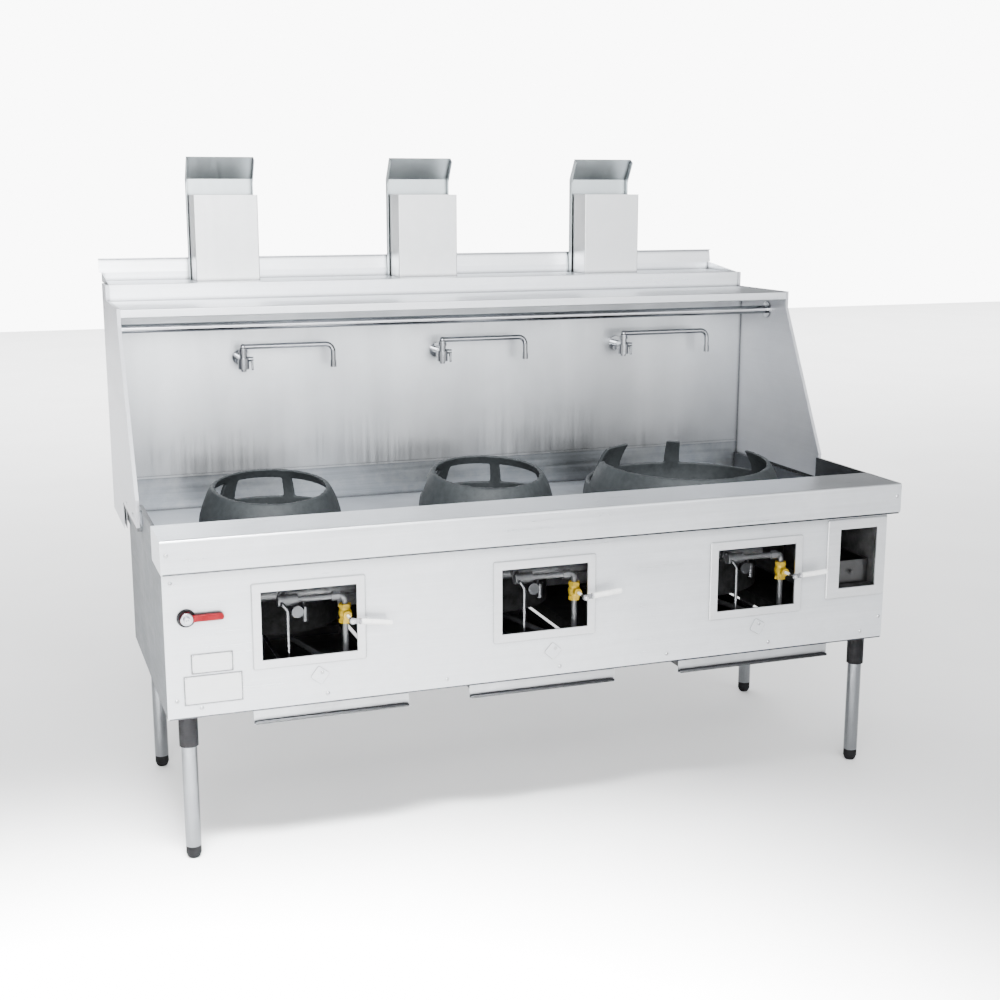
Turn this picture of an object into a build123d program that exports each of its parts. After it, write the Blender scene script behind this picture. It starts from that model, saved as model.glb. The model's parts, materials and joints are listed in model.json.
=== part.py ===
from build123d import *
import os
from math import atan2, cos, degrees, hypot, radians, sin, sqrt

# Commercial wok range with three cooking bays. Millimetres, +Z up, +Y to the rear.
# The origin lies on the floor, under the middle of the overall box.

# ---- Driving dimensions ----
SHEET = 2.0                 # stainless sheet
WIDTH = 2161.0              # over the splash guards
GUARD_STEP = 15.0           # how far a guard's outer skin stands outside the body
GUARD_THICK = 10.0
RAIL_INSET = 8.0            # rail's end, inside a guard's outer skin
BODY_DEPTH = 762.0          # front panel to rear panel
RAIL_TOP = 888.0            # work height
APRON = 134.0               # cabinet's bottom edge up to the windows
RAIL_FACE = 89.0
RAIL_PROUD = 54.0           # how far the rail stands in front of the panel
RAIL_BACK = 126.0           # how far its top reaches behind the panel's face
RAIL_BEND = 7.0
CURB_FLANGE = 9.0
DECK_DROP = 135.0           # work height down to the deck
SPLASH_BACK = 938.0         # front panel to the face of the backsplash
SEAM_DROP = 33.0            # work height down to the seam
SEAM_HEM = 6.0
LEDGE_RISE = 513.0          # work height up to the ledge
LEDGE_REACH = 298.0         # how far the ledge stands in front of the backsplash
LEDGE_FACE = 24.0
LEDGE_BEND = 2.5
SHELF_RISE = 49.0           # ledge to shelf
SHELF_SETBACK = 30.0        # backsplash to the shelf's front
SHELF_DEPTH = 227.0
SHELF_END_RISE = 26.0
LIP_HEIGHT = 70.0           # above the shelf
LIP_LEAN = 9.0
LIP_INSET = 2.0             # lip's end, inside a guard's outer skin
LIP_HEM = 10.0

# Splash guards
GUARD_RUN = 241.0           # how far the slope leans back, from its foot to its knee
GUARD_FOOT_DROP = 65.0      # work height down to the guard's bottom edge
GUARD_FOOT_HEIGHT = 77.0
GUARD_TAIL = 147.0          # how far a guard reaches behind the backsplash
GUARD_KNEE_DROP = 50.0      # below the ledge
GUARD_CLEAR = 4.0           # behind the rear panel, where the guard's tail drops
GUARD_SLOT = 8.0            # below a guard's bottom edge, down to the deck's side flange
GUARD_LIP = 38.0            # height of the deck's lip inside a guard

# Flue duct, risers and deflectors
DUCT_DROP = 11.0            # below the deck's face
DUCT_CLEAR = 15.0           # duct's back to the shelf's back
DUCT_INSET = 24.5           # each end, inside the guard
RISER_WIDTH = 200.0
RISER_DEPTH = 126.0
RISER_HEIGHT = 266.0
DEFLECTOR_GAP = 4.5
DEFLECTOR_FLANGE = 20.0
HOOD_START = 50.0           # riser's mouth up to the hood's bend
HOOD_RISE = 67.0
HOOD_REACH = 43.0
LINK_WIDTH = 180.0
LINK_RISE = 92.0            # chamber's bottom up to its flue link
LINK_HEIGHT = 100.0
LINK_RISE_DEPTH = 130.0

# Cooking bays
BAY_LEFT = 373.5            # body's left side to the middle of the first bay
BAY_RIGHT = 437.5           # middle of the last bay to the body's right side
RING_SETBACK = 364.0        # rail's back edge to the middle of the rings
SEAT_GAP = 0.3
RING_BASE_R = (205.0, 205.0, 315.0)
RING_MOUTH_R = (152.0, 152.0, 241.0)
RING_SHOULDER = (5.0, 5.0, 10.0)    # how much narrower the dome is at its shoulder
RING_SHOULDER_HEIGHT = 76.0
RING_FOOT_WALL = 14.0
RING_WALL = 13.0
RING_FRONT = 130.0          # height of the mouth at the front, above the deck
RING_RISE = (37.0, 37.0, 26.0)
RING_CROWN = (38.0, 38.0, 45.0)     # how far the dome is drawn past the mouth's front
RING_SILL = 76.0
RING_BAND = 30.0
CHAMBER_R = (180.0, 180.0, 236.0)
CHAMBER_WALL = 6.0
CHAMBER_DEPTH = 245.0       # deck's face to the chamber's bottom
BURNER_R = 72.0
BURNER_HEIGHT = 22.0
BURNER_BEND = 4.0
TIP_R = 5.0
TIP_HEIGHT = 16.0
TIP_RING_R = 48.0
TIP_COUNT = 10

# Window openings and their frames
WINDOW_DROP = 167.0         # work height down to the windows
WINDOW_WIDTH = 254.0
WINDOW_HEIGHT = 183.0
FRAME_BORDER = 24.0
FRAME_PROUD = 4.0
FRAME_CORNER = 6.0
DRAIN_INSET = 35.5          # from the body's right side
DRAIN_DROP = 138.0          # work height down to the drain opening
DRAIN_WIDTH = 125.0
DRAIN_HEIGHT = 180.0
DRAIN_FRAME_SIDE = 34.0
DRAIN_FRAME_LEFT = 42.0
DRAIN_FRAME_END = 30.0
DRAIN_BOX_DEPTH = 300.0
DRAIN_BOX_MARGIN = 7.0
DRAIN_OUTLET_R = 25.0
DRAIN_OUTLET_LENGTH = 60.0
HOSE_ROOM = 20.0            # round the outlet, where its hose passes the bottom
PIT_SETBACK = 24.0          # rail's back edge to the pit
PIT_DEPTH = 140.0
DRAIN_TRAY_HEIGHT = 68.0
DRAIN_TRAY_FOOT = 5.0
DRAIN_TRAY_CLEAR = 3.0
DRAIN_TRAY_RECESS = 34.0
DRAIN_TRAY_END = 30.0       # clear behind the tray
STRAINER_R = 4.0
TRAY_KNOB_R = 6.0
TRAY_KNOB = 14.0

# Gas train, places within each bay
PIPE_Y = 45.0
BRANCH_DROP = 41.0          # windows' top down to the branch pipe
BRANCH_PIPE_R = 8.0
FITTING_R = 15.0
UNION_R = 13.0
UNION_LENGTH = 20.0
UNION_GAP = 26.0            # union to the valve's centre line
MANIFOLD_Y = 118.0
MANIFOLD_R = 16.85
MANIFOLD_WALL = 3.4
MANIFOLD_INSET = 105.5      # from the body's left side
MANIFOLD_OVERRUN = 72.0     # past the middle of the last bay
OUTLET_LENGTH = 8.0
CAP_LENGTH = 6.0
INLET_REACH = 40.0          # pipe ends behind the rear panel
INLET_END = 22.0            # threaded length of a pipe's end
GAS_END_R = 16.5
WATER_END_R = 10.3
PIPE_HOLE_GAP = 0.5
VALVE_X = 106.0
VALVE_DROP = 90.0           # windows' top down to the valve's middle
VALVE_R = 18.0
VALVE_HEIGHT = 52.0
VALVE_NUT = 10.0
BONNET_R = 11.0
BONNET_FRONT = 14.0
STEM_R = 4.0
RUN_CLEARANCE = 0.05
FEED_DROP = 38.0            # below the chamber
LEVER_Y = 36.0              # in front of the panel
LEVER_THICK = 5.0
LEVER_WIDTH = 13.0
LEVER_ARM = 24.0
HUB_MARGIN = 2.0
HUB_FRONT = 4.0
GRIP_LENGTH = 88.0
GRIP_R = 7.5
LEVER_TILT = (9.0, -5.0, -3.0)
TEE_X = -48.0
TEE_HALF = 26.0
PILOT_X = -52.0
PILOT_Y = 24.0
PILOT_R = 4.5
PILOT_DROP = 24.0           # the tube's level run, below the chamber's floor
PILOT_VALVE_X = -6.0
PILOT_VALVE_DROP = 67.0     # windows' top down to the pilot valve's middle
PILOT_VALVE_R = 7.0
PILOT_VALVE_UP = 12.0
PILOT_VALVE_DOWN = 28.0
PILOT_ARM_R = 6.0
PILOT_KNOB_R = 16.0
PILOT_KNOB_FRONT = 8.0
PILOT_KNOB_BACK = 7.0
PILOT_KNOB_X = -27.0
PILOT_HANGER_R = 5.5
PILOT_NECK_R = 4.5
NOTCH_LENGTH = 40.0         # of the branch pipe's outline that is cut from what it holds

# Lighting-port covers
PORT_X = (30.0, 31.0, 14.0)     # where the cover turns, within the bay
PORT_BELOW = (49.0, 55.0, 49.0)     # below the windows
PORT_R = 6.0
PORT_DROP = 15.0                # the hole, below the pivot along the cover
COVER_SIZE = 36.0
COVER_CORNER = 5.0
COVER_THICK = 2.0
COVER_TILT = (38.0, 42.0, 30.0)
PIVOT_R = 3.0

# Main water valve
MAIN_INSET = 56.5           # from the body's left side
MAIN_DROP = 50.0            # below the windows' top
MAIN_Y = 34.0
MAIN_BODY_R = 19.0
MAIN_BODY_HALF = 30.0
MAIN_NUT = 12.0
MAIN_BONNET_R = 11.0
MAIN_STEM_R = 5.0
MAIN_HUB_R = 17.0
MAIN_HUB_LENGTH = 16.0
MAIN_CAP_LENGTH = 8.0
MAIN_LEVER_LENGTH = 94.0
MAIN_LEVER_WIDTH = 17.0
MAIN_LEVER_THICK = 7.0
PANEL_GAP = 1.0             # between the hub and the panel
WATER_R = 10.65
WATER_BORE = 8.0
WATER_RISE = 96.0           # cabinet's bottom up to the water inlet
WATER_DROP = 31.0           # deck's face down to the pipe across
WATER_BACK = 80.0           # rear panel to the riser pipe
WATER_BEND = 25.0
WATER_TURN = 14.0

# Faucets
FAUCET_X = (3.0, -16.0, -38.0)      # within each bay
FAUCET_RISE = 361.0         # work height up to the top of the body, where the spout turns
FAUCET_PROUD = 68.0
FAUCET_R = 14.0
FAUCET_NECK_R = 11.5
FAUCET_BASE_R = 17.0
FAUCET_BASE = 33.0          # height of the wide base of the body
FAUCET_BODY = 57.0
FAUCET_FOOT = 8.0
FAUCET_FLANGE_R = 23.0
FAUCET_FLANGE = 5.0
SPOUT_R = 8.0
SPOUT_STEM_R = 7.0
SPOUT_NUT_R = 13.0
SPOUT_NUT = 7.0
SPOUT_REACH = (282.0, 285.0, 312.0)
SPOUT_DROP = 60.0
SPOUT_BEND = 24.0
SPOUT_STEM = 18.0
AERATOR_R = 9.6
AERATOR_BORE = 5.0
AERATOR = 20.0
HANDLE_DROP = 27.0          # spout's seat down to the handle
HANDLE_STEM_R = 3.5
HANDLE_BONNET_R = 8.0
HANDLE_BONNET = 4.0
HANDLE_HUB = 9.0
HANDLE_HUB_R = 7.0
HANDLE_LENGTH = 34.0
HANDLE_THICK = 6.0
HANDLE_WIDTH = 11.0

# Ladle rail
LADLE_FRONT = 178.0         # in front of the backsplash
LADLE_DROP = 65.0           # below the ledge
LADLE_R = 13.35
LADLE_WALL = 2.5
LADLE_FLANGE_R = 26.0
LADLE_FLANGE = 4.0

# Frame, legs and feet
TUBE = 34.0
TUBE_WALL = 3.0
LEG_INSET = 55.5            # from the body's side
LEG_FRONT = 48.0
LEG_BACK = 44.0             # in front of the rear panel's face
LEG_R = 20.5
LEG_WALL = 2.0
SOCKET_R = 25.0
SOCKET_LENGTH = 90.0
SOCKET_PLATE = 74.0
SOCKET_CORNER = 6.0
SOCKET_PLATE_THICK = 4.0
FOOT_HEIGHT = 34.0
FOOT_R = 20.0
FOOT_TAPER = 7.0
FOOT_EDGE = 4.0
FOOT_STEM_R = 8.0
FOOT_STEM = 60.0
LEG_PLUG = 30.0

# Drip trays
TRAY_SHIFT = (56.0, -4.0, 1.0)      # from the middle of the bay
TRAY_WIDTH = (421.0, 433.0, 492.0)
TRAY_DEPTH = 700.0
TRAY_HEIGHT = 36.0          # tray's bottom below the cabinet's bottom edge
TRAY_FRONT_INSET = 12.0     # the pan's side wall, inside the end of its front plate
TRAY_TOP_GAP = 2.0
TRAY_HEM = 9.0
RUNNER_DROP = 12.0
RUNNER_FOOT = 11.0
TRAY_FLANGE = 8.0
RUNNER_GAP = 1.0

# Plates and screws
PLATES = ((117.5, 143.0, 107.0, 53.0), (118.5, 73.0, 150.0, 78.0))  # from the corner, width, height
PLATE_THICK = 1.0
PLATE_CORNER = 3.0
SCREW_R = 5.0
SCREW_HEAD = 2.5
RAIL_SCREW_INSET = 14.5
RAIL_SCREW_DROP = 38.0
SCREW_FIRST = 86.5          # from the body's left side
SCREW_STEP = 331.0
SCREW_LAST = 74.5           # from the body's right side
SCREW_ROW_RISE = 24.0       # above the cabinet's bottom edge
LEFT_SCREW_HIGH = (20.5, 124.0)     # in from the body's side, down from the work height
LEFT_SCREW_LOW = (24.5, 48.0)       # in from the body's side, up from the bottom edge
RIGHT_SCREW_LOW = (12.5, 65.0)
GUARD_SCREW_BACK = (83.0, 241.0)    # behind the guard's front edge
GUARD_SCREW_DROP = 43.0

# ---- Sizes that follow ----
HALF = WIDTH / 2
INNER = HALF - GUARD_THICK                  # inner face of a splash guard
RAIL_HALF = HALF - RAIL_INSET
BODY = HALF - GUARD_STEP
DECK_HALF = BODY - SHEET                    # outer face of the deck's side walls
SHELF_FRONT = SPLASH_BACK + SHELF_SETBACK
SHELF_BACK = SHELF_FRONT + SHELF_DEPTH
DEPTH_BACK = SHELF_BACK + LIP_LEAN
PANEL_Y = (RAIL_PROUD + SCREW_HEAD - DEPTH_BACK) / 2    # face of the front panel in the part's frame
SPLASH_Y = PANEL_Y + SPLASH_BACK
LEDGE_FRONT = SPLASH_BACK - LEDGE_REACH
GUARD_FOOT_FRONT = LEDGE_FRONT - GUARD_RUN
GUARD_BACK = SPLASH_BACK + GUARD_TAIL
DUCT_BACK = SHELF_BACK - DUCT_CLEAR
RISER_BACK = SHELF_BACK - SHEET - SHEET
RISER_FRONT = RISER_BACK - RISER_DEPTH
RING_CENTRE = RAIL_BACK + RING_SETBACK      # behind the front panel's face
LADLE_Y = SPLASH_BACK - LADLE_FRONT
LEG_REAR = BODY_DEPTH - LEG_BACK

DECK_TOP = RAIL_TOP - DECK_DROP
DECK_BOTTOM = DECK_TOP - SHEET
SEAM_HEIGHT = RAIL_TOP - SEAM_DROP
WINDOW_TOP = RAIL_TOP - WINDOW_DROP
WINDOW_BOTTOM = WINDOW_TOP - WINDOW_HEIGHT
BODY_BOTTOM = WINDOW_BOTTOM - APRON
DRAIN_TOP = RAIL_TOP - DRAIN_DROP
DRAIN_BOTTOM = DRAIN_TOP - DRAIN_HEIGHT
LEDGE_TOP = RAIL_TOP + LEDGE_RISE
SHELF_TOP = LEDGE_TOP + SHELF_RISE
LIP_CREASE = SHELF_TOP + SHELF_END_RISE
LIP_TOP = SHELF_TOP + LIP_HEIGHT
GUARD_FOOT_BOTTOM = RAIL_TOP - GUARD_FOOT_DROP
GUARD_FOOT_TOP = GUARD_FOOT_BOTTOM + GUARD_FOOT_HEIGHT
GUARD_KNEE = LEDGE_TOP - GUARD_KNEE_DROP
CURB_LOW = GUARD_FOOT_BOTTOM - GUARD_SLOT
DUCT_BOTTOM = DECK_TOP - DUCT_DROP
RISER_TOP = SHELF_TOP + RISER_HEIGHT
HOOD_BEND = RISER_TOP + HOOD_START
HOOD_TOP = HOOD_BEND + HOOD_RISE
CHAMBER_BOTTOM = DECK_TOP - CHAMBER_DEPTH
LINK_BOTTOM = CHAMBER_BOTTOM + LINK_RISE
BRANCH_Z = WINDOW_TOP - BRANCH_DROP
VALVE_Z = WINDOW_TOP - VALVE_DROP
PILOT_VALVE_Z = WINDOW_TOP - PILOT_VALVE_DROP
FEED_Z = CHAMBER_BOTTOM - FEED_DROP
MAIN_Z = WINDOW_TOP - MAIN_DROP
WATER_Z = BODY_BOTTOM + WATER_RISE
WATER_OVER_Z = DECK_TOP - WATER_DROP
FAUCET_Z = RAIL_TOP + FAUCET_RISE
HANDLE_Z = FAUCET_Z - HANDLE_DROP
LADLE_Z = LEDGE_TOP - LADLE_DROP
TRAY_BOTTOM = BODY_BOTTOM - TRAY_HEIGHT

DRAIN_RIGHT = BODY - DRAIN_INSET
DRAIN_LEFT = DRAIN_RIGHT - DRAIN_WIDTH
MAIN_X = MAIN_INSET - BODY
MANIFOLD_X = MANIFOLD_INSET - BODY
LEG_X = BODY - LEG_INSET
BAY_X = (BAY_LEFT - BODY, (BAY_LEFT - BAY_RIGHT) / 2, BODY - BAY_RIGHT)     # evenly spaced
BAYS = tuple(zip(BAY_X, RING_BASE_R, RING_MOUTH_R, RING_SHOULDER, RING_CROWN, RING_RISE))
TRAY_X = tuple(x + shift for x, shift in zip(BAY_X, TRAY_SHIFT))
TRAY_ENDS = tuple((x - width / 2, x + width / 2) for x, width in zip(TRAY_X, TRAY_WIDTH))
MEMBER_X = ((TRAY_ENDS[0][1] + TRAY_ENDS[1][0]) / 2, (TRAY_ENDS[1][1] + TRAY_ENDS[2][0]) / 2)

UP = Align.MIN
MID = Align.CENTER


# ---- Small helpers ----
def block(x, y, z):
    """A box from three (low, high) pairs."""
    box = Box(x[1] - x[0], y[1] - y[0], z[1] - z[0], align=(UP, UP, UP))
    return Pos(x[0], y[0], z[0]) * box


def rod(start, end, radius, bore=0.0):
    """A round bar, or a tube with a bore, from one point to another."""
    run = Vector(*end) - Vector(*start)
    place = Plane(origin=start, z_dir=run)
    bar = place * Cylinder(radius, run.length, align=(MID, MID, UP))
    if bore > 0:
        bar -= place * Cylinder(bore, run.length, align=(MID, MID, UP))
    return bar


def folded(points, x0, x1, bend, thick=SHEET, side=Side.RIGHT):
    """A sheet folded along X. The points are (y, z) on its outer face."""
    path = FilletPolyline(*points, radius=bend)
    outline = offset(path, amount=thick, side=side, closed=True)
    return Pos(x0, 0, 0) * extrude(Plane.YZ * make_face(outline.edges()), amount=x1 - x0)


def side_plate(points, x, thick=SHEET):
    """A flat plate square to X, with its outline as (y, z) points."""
    face = make_face(Polyline(*points, close=True))
    return Pos(x, 0, 0) * extrude(Plane.YZ * face, amount=thick)


def pipe(points, radius, bend, bore=0.0):
    """A pipe along straight runs joined by arcs."""
    route = FilletPolyline(*points, radius=bend)
    start = Plane(origin=route @ 0, z_dir=route % 0)
    solid = sweep(start * Circle(radius), path=route)
    if bore > 0:
        solid -= sweep(start * Circle(bore), path=route)
    return solid


def turned(points, centre):
    """A solid of revolution about a vertical axis, from its (r, z) outline."""
    return Pos(*centre) * revolve(Plane.XZ * make_face(Polyline(*points, close=True)), axis=Axis.Z)


def save(node, *solids):
    """Write one node. Several solids stay separate in it."""
    shape = solids[0] if len(solids) == 1 else Compound([s.solid() for s in solids])
    export_step(shape, f"parts/{node}.step")


def mirrored(solid):
    """The same piece on the other side of the range."""
    return mirror(solid, about=Plane.YZ)


# ---- Frame, legs and feet ----
def square_tube(x, y, z):
    """A square tube along X or Y, open at its ends."""
    solid = block(x, y, z)
    long_x = x[1] - x[0] > y[1] - y[0]
    inner_x = x if long_x else (x[0] + TUBE_WALL, x[1] - TUBE_WALL)
    inner_y = (y[0] + TUBE_WALL, y[1] - TUBE_WALL) if long_x else y
    return solid - block(inner_x, inner_y, (z[0] + TUBE_WALL, z[1] - TUBE_WALL))


def base_frame():
    height = (BODY_BOTTOM, BODY_BOTTOM + TUBE)
    front = (PANEL_Y + SHEET, PANEL_Y + SHEET + TUBE)
    rear = (PANEL_Y + BODY_DEPTH - SHEET - TUBE, PANEL_Y + BODY_DEPTH - SHEET)
    between = (front[1], rear[0])
    members = [square_tube((-DECK_HALF, DECK_HALF), run, height) for run in (front, rear)]
    for x in (-DECK_HALF, *(m - TUBE / 2 for m in MEMBER_X), DECK_HALF - TUBE):
        members.append(square_tube((x, x + TUBE), between, height))
    return members + closing_sheets(height, between)


def closing_sheets(height, between):
    """Sheets on the frame that close the cabinet's bottom, turned down beside the drip trays."""
    level = height[1]
    edges = [-DECK_HALF, *(edge for ends in TRAY_ENDS for edge in ends), DECK_HALF]
    deep = (PANEL_Y + SHEET, PANEL_Y + BODY_DEPTH - SHEET)
    turned = (between[0] + SEAT_GAP, between[1] - SEAT_GAP)
    sheets = []
    for left, right in zip(edges[::2], edges[1::2]):
        sheet = block((left, right), deep, (level, level + SHEET))
        if left > -DECK_HALF:
            sheet += block((left, left + SHEET), turned, (BODY_BOTTOM, level))
        if right < DECK_HALF:
            sheet += block((right - SHEET, right), turned, (BODY_BOTTOM, level))
        sheets.append(sheet)
    outlet = ((DRAIN_LEFT + DRAIN_RIGHT) / 2, PANEL_Y + SHEET + DRAIN_BOX_DEPTH / 2)
    sheets[-1] -= rod((*outlet, level), (*outlet, level + SHEET), DRAIN_OUTLET_R + HOSE_ROOM)
    return sheets


def leg_places():
    for y in (LEG_FRONT, LEG_REAR):
        for x in (-LEG_X, LEG_X):
            yield x, PANEL_Y + y


def leg_socket(x, y):
    plate_z = BODY_BOTTOM - SOCKET_PLATE_THICK
    half = SOCKET_PLATE / 2
    plate = block((x - half, x + half), (y - half, y + half), (plate_z, BODY_BOTTOM))
    cup = rod((x, y, BODY_BOTTOM - SOCKET_LENGTH), (x, y, plate_z), SOCKET_R, LEG_R)
    return fillet(plate.edges().filter_by(Axis.Z), SOCKET_CORNER) + cup


def leg(x, y):
    low = FOOT_HEIGHT + SEAT_GAP
    tube = rod((x, y, low), (x, y, BODY_BOTTOM - SOCKET_PLATE_THICK), LEG_R, LEG_R - LEG_WALL)
    bore = FOOT_STEM_R + RUN_CLEARANCE
    return tube + rod((x, y, low), (x, y, low + LEG_PLUG), LEG_R - LEG_WALL / 2, bore)


def foot(x, y):
    """A bullet foot: tapered pad, collar and the stem that screws into the leg."""
    outline = [
        (0, 0),
        (FOOT_R - FOOT_TAPER, 0),
        (FOOT_R - FOOT_TAPER / 2, FOOT_EDGE),
        (FOOT_R, 3.5 * FOOT_EDGE),
        (FOOT_R, FOOT_HEIGHT),
        (FOOT_STEM_R, FOOT_HEIGHT),
        (FOOT_STEM_R, FOOT_HEIGHT + FOOT_STEM),
        (0, FOOT_HEIGHT + FOOT_STEM),
    ]
    return turned(outline, (x, y, 0))


# ---- Cabinet ----
def bay_holes(depth):
    """The window openings, as cutting blocks through the front panel."""
    half = WINDOW_WIDTH / 2
    return [block((x - half, x + half), depth, (WINDOW_BOTTOM, WINDOW_TOP)) for x in BAY_X]


def port_places():
    for x, shift, below, tilt in zip(BAY_X, PORT_X, PORT_BELOW, COVER_TILT):
        yield x + shift, WINDOW_BOTTOM - below, tilt


def front_panel():
    across = (PANEL_Y, PANEL_Y + SHEET)
    panel = block((-BODY, BODY), across, (BODY_BOTTOM, RAIL_TOP - SHEET))
    for hole in bay_holes(across):
        panel -= hole
    panel -= block((DRAIN_LEFT, DRAIN_RIGHT), across, (DRAIN_BOTTOM, DRAIN_TOP))
    panel -= rod((MAIN_X, across[0], MAIN_Z), (MAIN_X, across[1], MAIN_Z), MAIN_STEM_R + PANEL_GAP)
    for x, z, tilt in port_places():
        hole_x = x - PORT_DROP * sin(radians(tilt))
        hole_z = z - PORT_DROP * cos(radians(tilt))
        panel -= rod((hole_x, across[0], hole_z), (hole_x, across[1], hole_z), PORT_R)
    return panel


def raised_frame(x, z, border):
    """A thin frame welded round an opening. border is (left, right, bottom, top)."""
    outer_x = (x[0] - border[0], x[1] + border[1])
    outer_z = (z[0] - border[2], z[1] + border[3])
    rim = block(outer_x, (PANEL_Y - FRAME_PROUD, PANEL_Y), outer_z)
    rim = fillet(rim.edges().filter_by(Axis.Y), FRAME_CORNER)
    rim = chamfer(rim.faces().sort_by(Axis.Y)[0].edges(), FRAME_PROUD * 0.6)
    return rim - block(x, (PANEL_Y - FRAME_PROUD, PANEL_Y), z)


def panel_frames():
    half = WINDOW_WIDTH / 2
    border = (FRAME_BORDER,) * 4
    frames = [raised_frame((x - half, x + half), (WINDOW_BOTTOM, WINDOW_TOP), border) for x in BAY_X]
    drain_border = (DRAIN_FRAME_LEFT, DRAIN_FRAME_SIDE, DRAIN_FRAME_END, DRAIN_FRAME_END)
    frames.append(raised_frame((DRAIN_LEFT, DRAIN_RIGHT), (DRAIN_BOTTOM, DRAIN_TOP), drain_border))
    return frames


def side_panel():
    """The left side panel, cut down behind where the guard's foot begins."""
    across = (-BODY, -DECK_HALF)
    front = PANEL_Y + SHEET
    step = CURB_LOW - SHEET
    panel = block(across, (front, PANEL_Y + BODY_DEPTH), (BODY_BOTTOM, step))
    return panel + block(across, (front, PANEL_Y + GUARD_FOOT_FRONT), (step, RAIL_TOP - SHEET))


def rear_panel():
    across = (PANEL_Y + BODY_DEPTH - SHEET, PANEL_Y + BODY_DEPTH)
    panel = block((-DECK_HALF, DECK_HALF), across, (BODY_BOTTOM, DECK_BOTTOM))
    half = LINK_WIDTH / 2
    for x in BAY_X:
        panel -= block((x - half, x + half), across, (LINK_BOTTOM, LINK_BOTTOM + LINK_HEIGHT))
    for x, z, radius in ((MANIFOLD_X, BRANCH_Z, MANIFOLD_R), (MAIN_X, WATER_Z, WATER_R)):
        panel -= rod((x, across[0], z), (x, across[1], z), radius + PIPE_HOLE_GAP)
    return panel


def front_rail():
    nose = PANEL_Y - RAIL_PROUD
    points = [
        (PANEL_Y, RAIL_TOP - RAIL_FACE),
        (nose, RAIL_TOP - RAIL_FACE),
        (nose, RAIL_TOP),
        (PANEL_Y + RAIL_BACK, RAIL_TOP),
    ]
    rail = folded(points, -RAIL_HALF, RAIL_HALF, RAIL_BEND)
    cap_points = [
        (nose + RAIL_BEND, RAIL_TOP - RAIL_FACE),
        (PANEL_Y, RAIL_TOP - RAIL_FACE),
        (PANEL_Y + RAIL_BACK, RAIL_TOP - RAIL_FACE),
        (PANEL_Y + RAIL_BACK, RAIL_TOP - SHEET),
        (nose + RAIL_BEND, RAIL_TOP - SHEET),
        (nose + SHEET, RAIL_TOP - RAIL_BEND),
        (nose + SHEET, RAIL_TOP - RAIL_FACE + RAIL_BEND),
    ]
    for x in (-RAIL_HALF, RAIL_HALF - SHEET):
        rail += side_plate(cap_points, x)
    return rail


def cook_deck():
    """The sunken deck: a pan with a front wall, two sides, ring holes and a drain pit hole."""
    front = PANEL_Y + RAIL_BACK - SHEET
    back = SPLASH_Y + SHEET
    pan = block((-DECK_HALF, DECK_HALF), (front, back), (DECK_BOTTOM, DECK_TOP))
    pan += block((-DECK_HALF, DECK_HALF), (front, front + SHEET), (DECK_BOTTOM, RAIL_TOP - SHEET))
    side = deck_side(front + SHEET)
    pan += side + mirrored(side)
    for x, radius in zip(BAY_X, CHAMBER_R):
        pan -= Pos(x, PANEL_Y + RING_CENTRE, DECK_TOP) * Cylinder(radius, 4 * SHEET)
    pit = (PANEL_Y + RAIL_BACK + PIT_SETBACK, PANEL_Y + RAIL_BACK + PIT_SETBACK + PIT_DEPTH)
    return pan - block((DRAIN_LEFT, DRAIN_RIGHT), pit, (DECK_BOTTOM, DECK_TOP))


def deck_side(front):
    """The deck's right side: a curb, and behind it a low flange with a lip inside the guard."""
    wall = (DECK_HALF - SHEET, DECK_HALF)
    step = PANEL_Y + GUARD_FOOT_FRONT
    rear = PANEL_Y + BODY_DEPTH
    level = (CURB_LOW - SHEET, CURB_LOW)
    side = block(wall, (front, SPLASH_Y), (DECK_BOTTOM, CURB_LOW))
    side += block(wall, (front, step), (CURB_LOW, RAIL_TOP))
    side += block((DECK_HALF, DECK_HALF + CURB_FLANGE - SHEET), (front, step), (RAIL_TOP - SHEET, RAIL_TOP))
    side += block((DECK_HALF, HALF - SHEET), (step + SHEET, rear), level)
    side += block((DECK_HALF, INNER), (rear, SPLASH_Y), level)
    lip = (HALF - 2 * SHEET, HALF - SHEET)
    return side + block(lip, (step + SHEET, rear), (CURB_LOW, CURB_LOW + GUARD_LIP))


# ---- Upper works ----
def splash_sheet(bottom, top):
    return block((-INNER, INNER), (SPLASH_Y, SPLASH_Y + SHEET), (bottom, top))


def backsplash():
    """The upper wall, with a hem along the seam."""
    sheet = splash_sheet(SEAM_HEIGHT, LEDGE_TOP - SHEET)
    half = DECK_HALF - SHEET
    return sheet + block((-half, half), (SPLASH_Y - SHEET, SPLASH_Y), (SEAM_HEIGHT, SEAM_HEIGHT + SEAM_HEM))


def guard_face(let_down):
    """A guard's side, with its bottom edges let down by the given amount."""
    tail_y = BODY_DEPTH + GUARD_CLEAR - let_down
    corners = [
        (GUARD_FOOT_FRONT, GUARD_FOOT_BOTTOM - let_down),
        (GUARD_FOOT_FRONT, GUARD_FOOT_TOP),
        (LEDGE_FRONT, GUARD_KNEE),
        (LEDGE_FRONT, LEDGE_TOP + SHEET),
        (SHELF_FRONT - SHEET, LEDGE_TOP + SHEET),
        (SHELF_FRONT - SHEET, SHELF_TOP),
        (GUARD_BACK, SHELF_TOP),
        (GUARD_BACK, DUCT_BOTTOM - let_down),
        (tail_y, DUCT_BOTTOM - let_down),
        (tail_y, GUARD_FOOT_BOTTOM - let_down),
    ]
    return Plane.YZ * make_face(Polyline(*((PANEL_Y + y, z) for y, z in corners), close=True))


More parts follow.
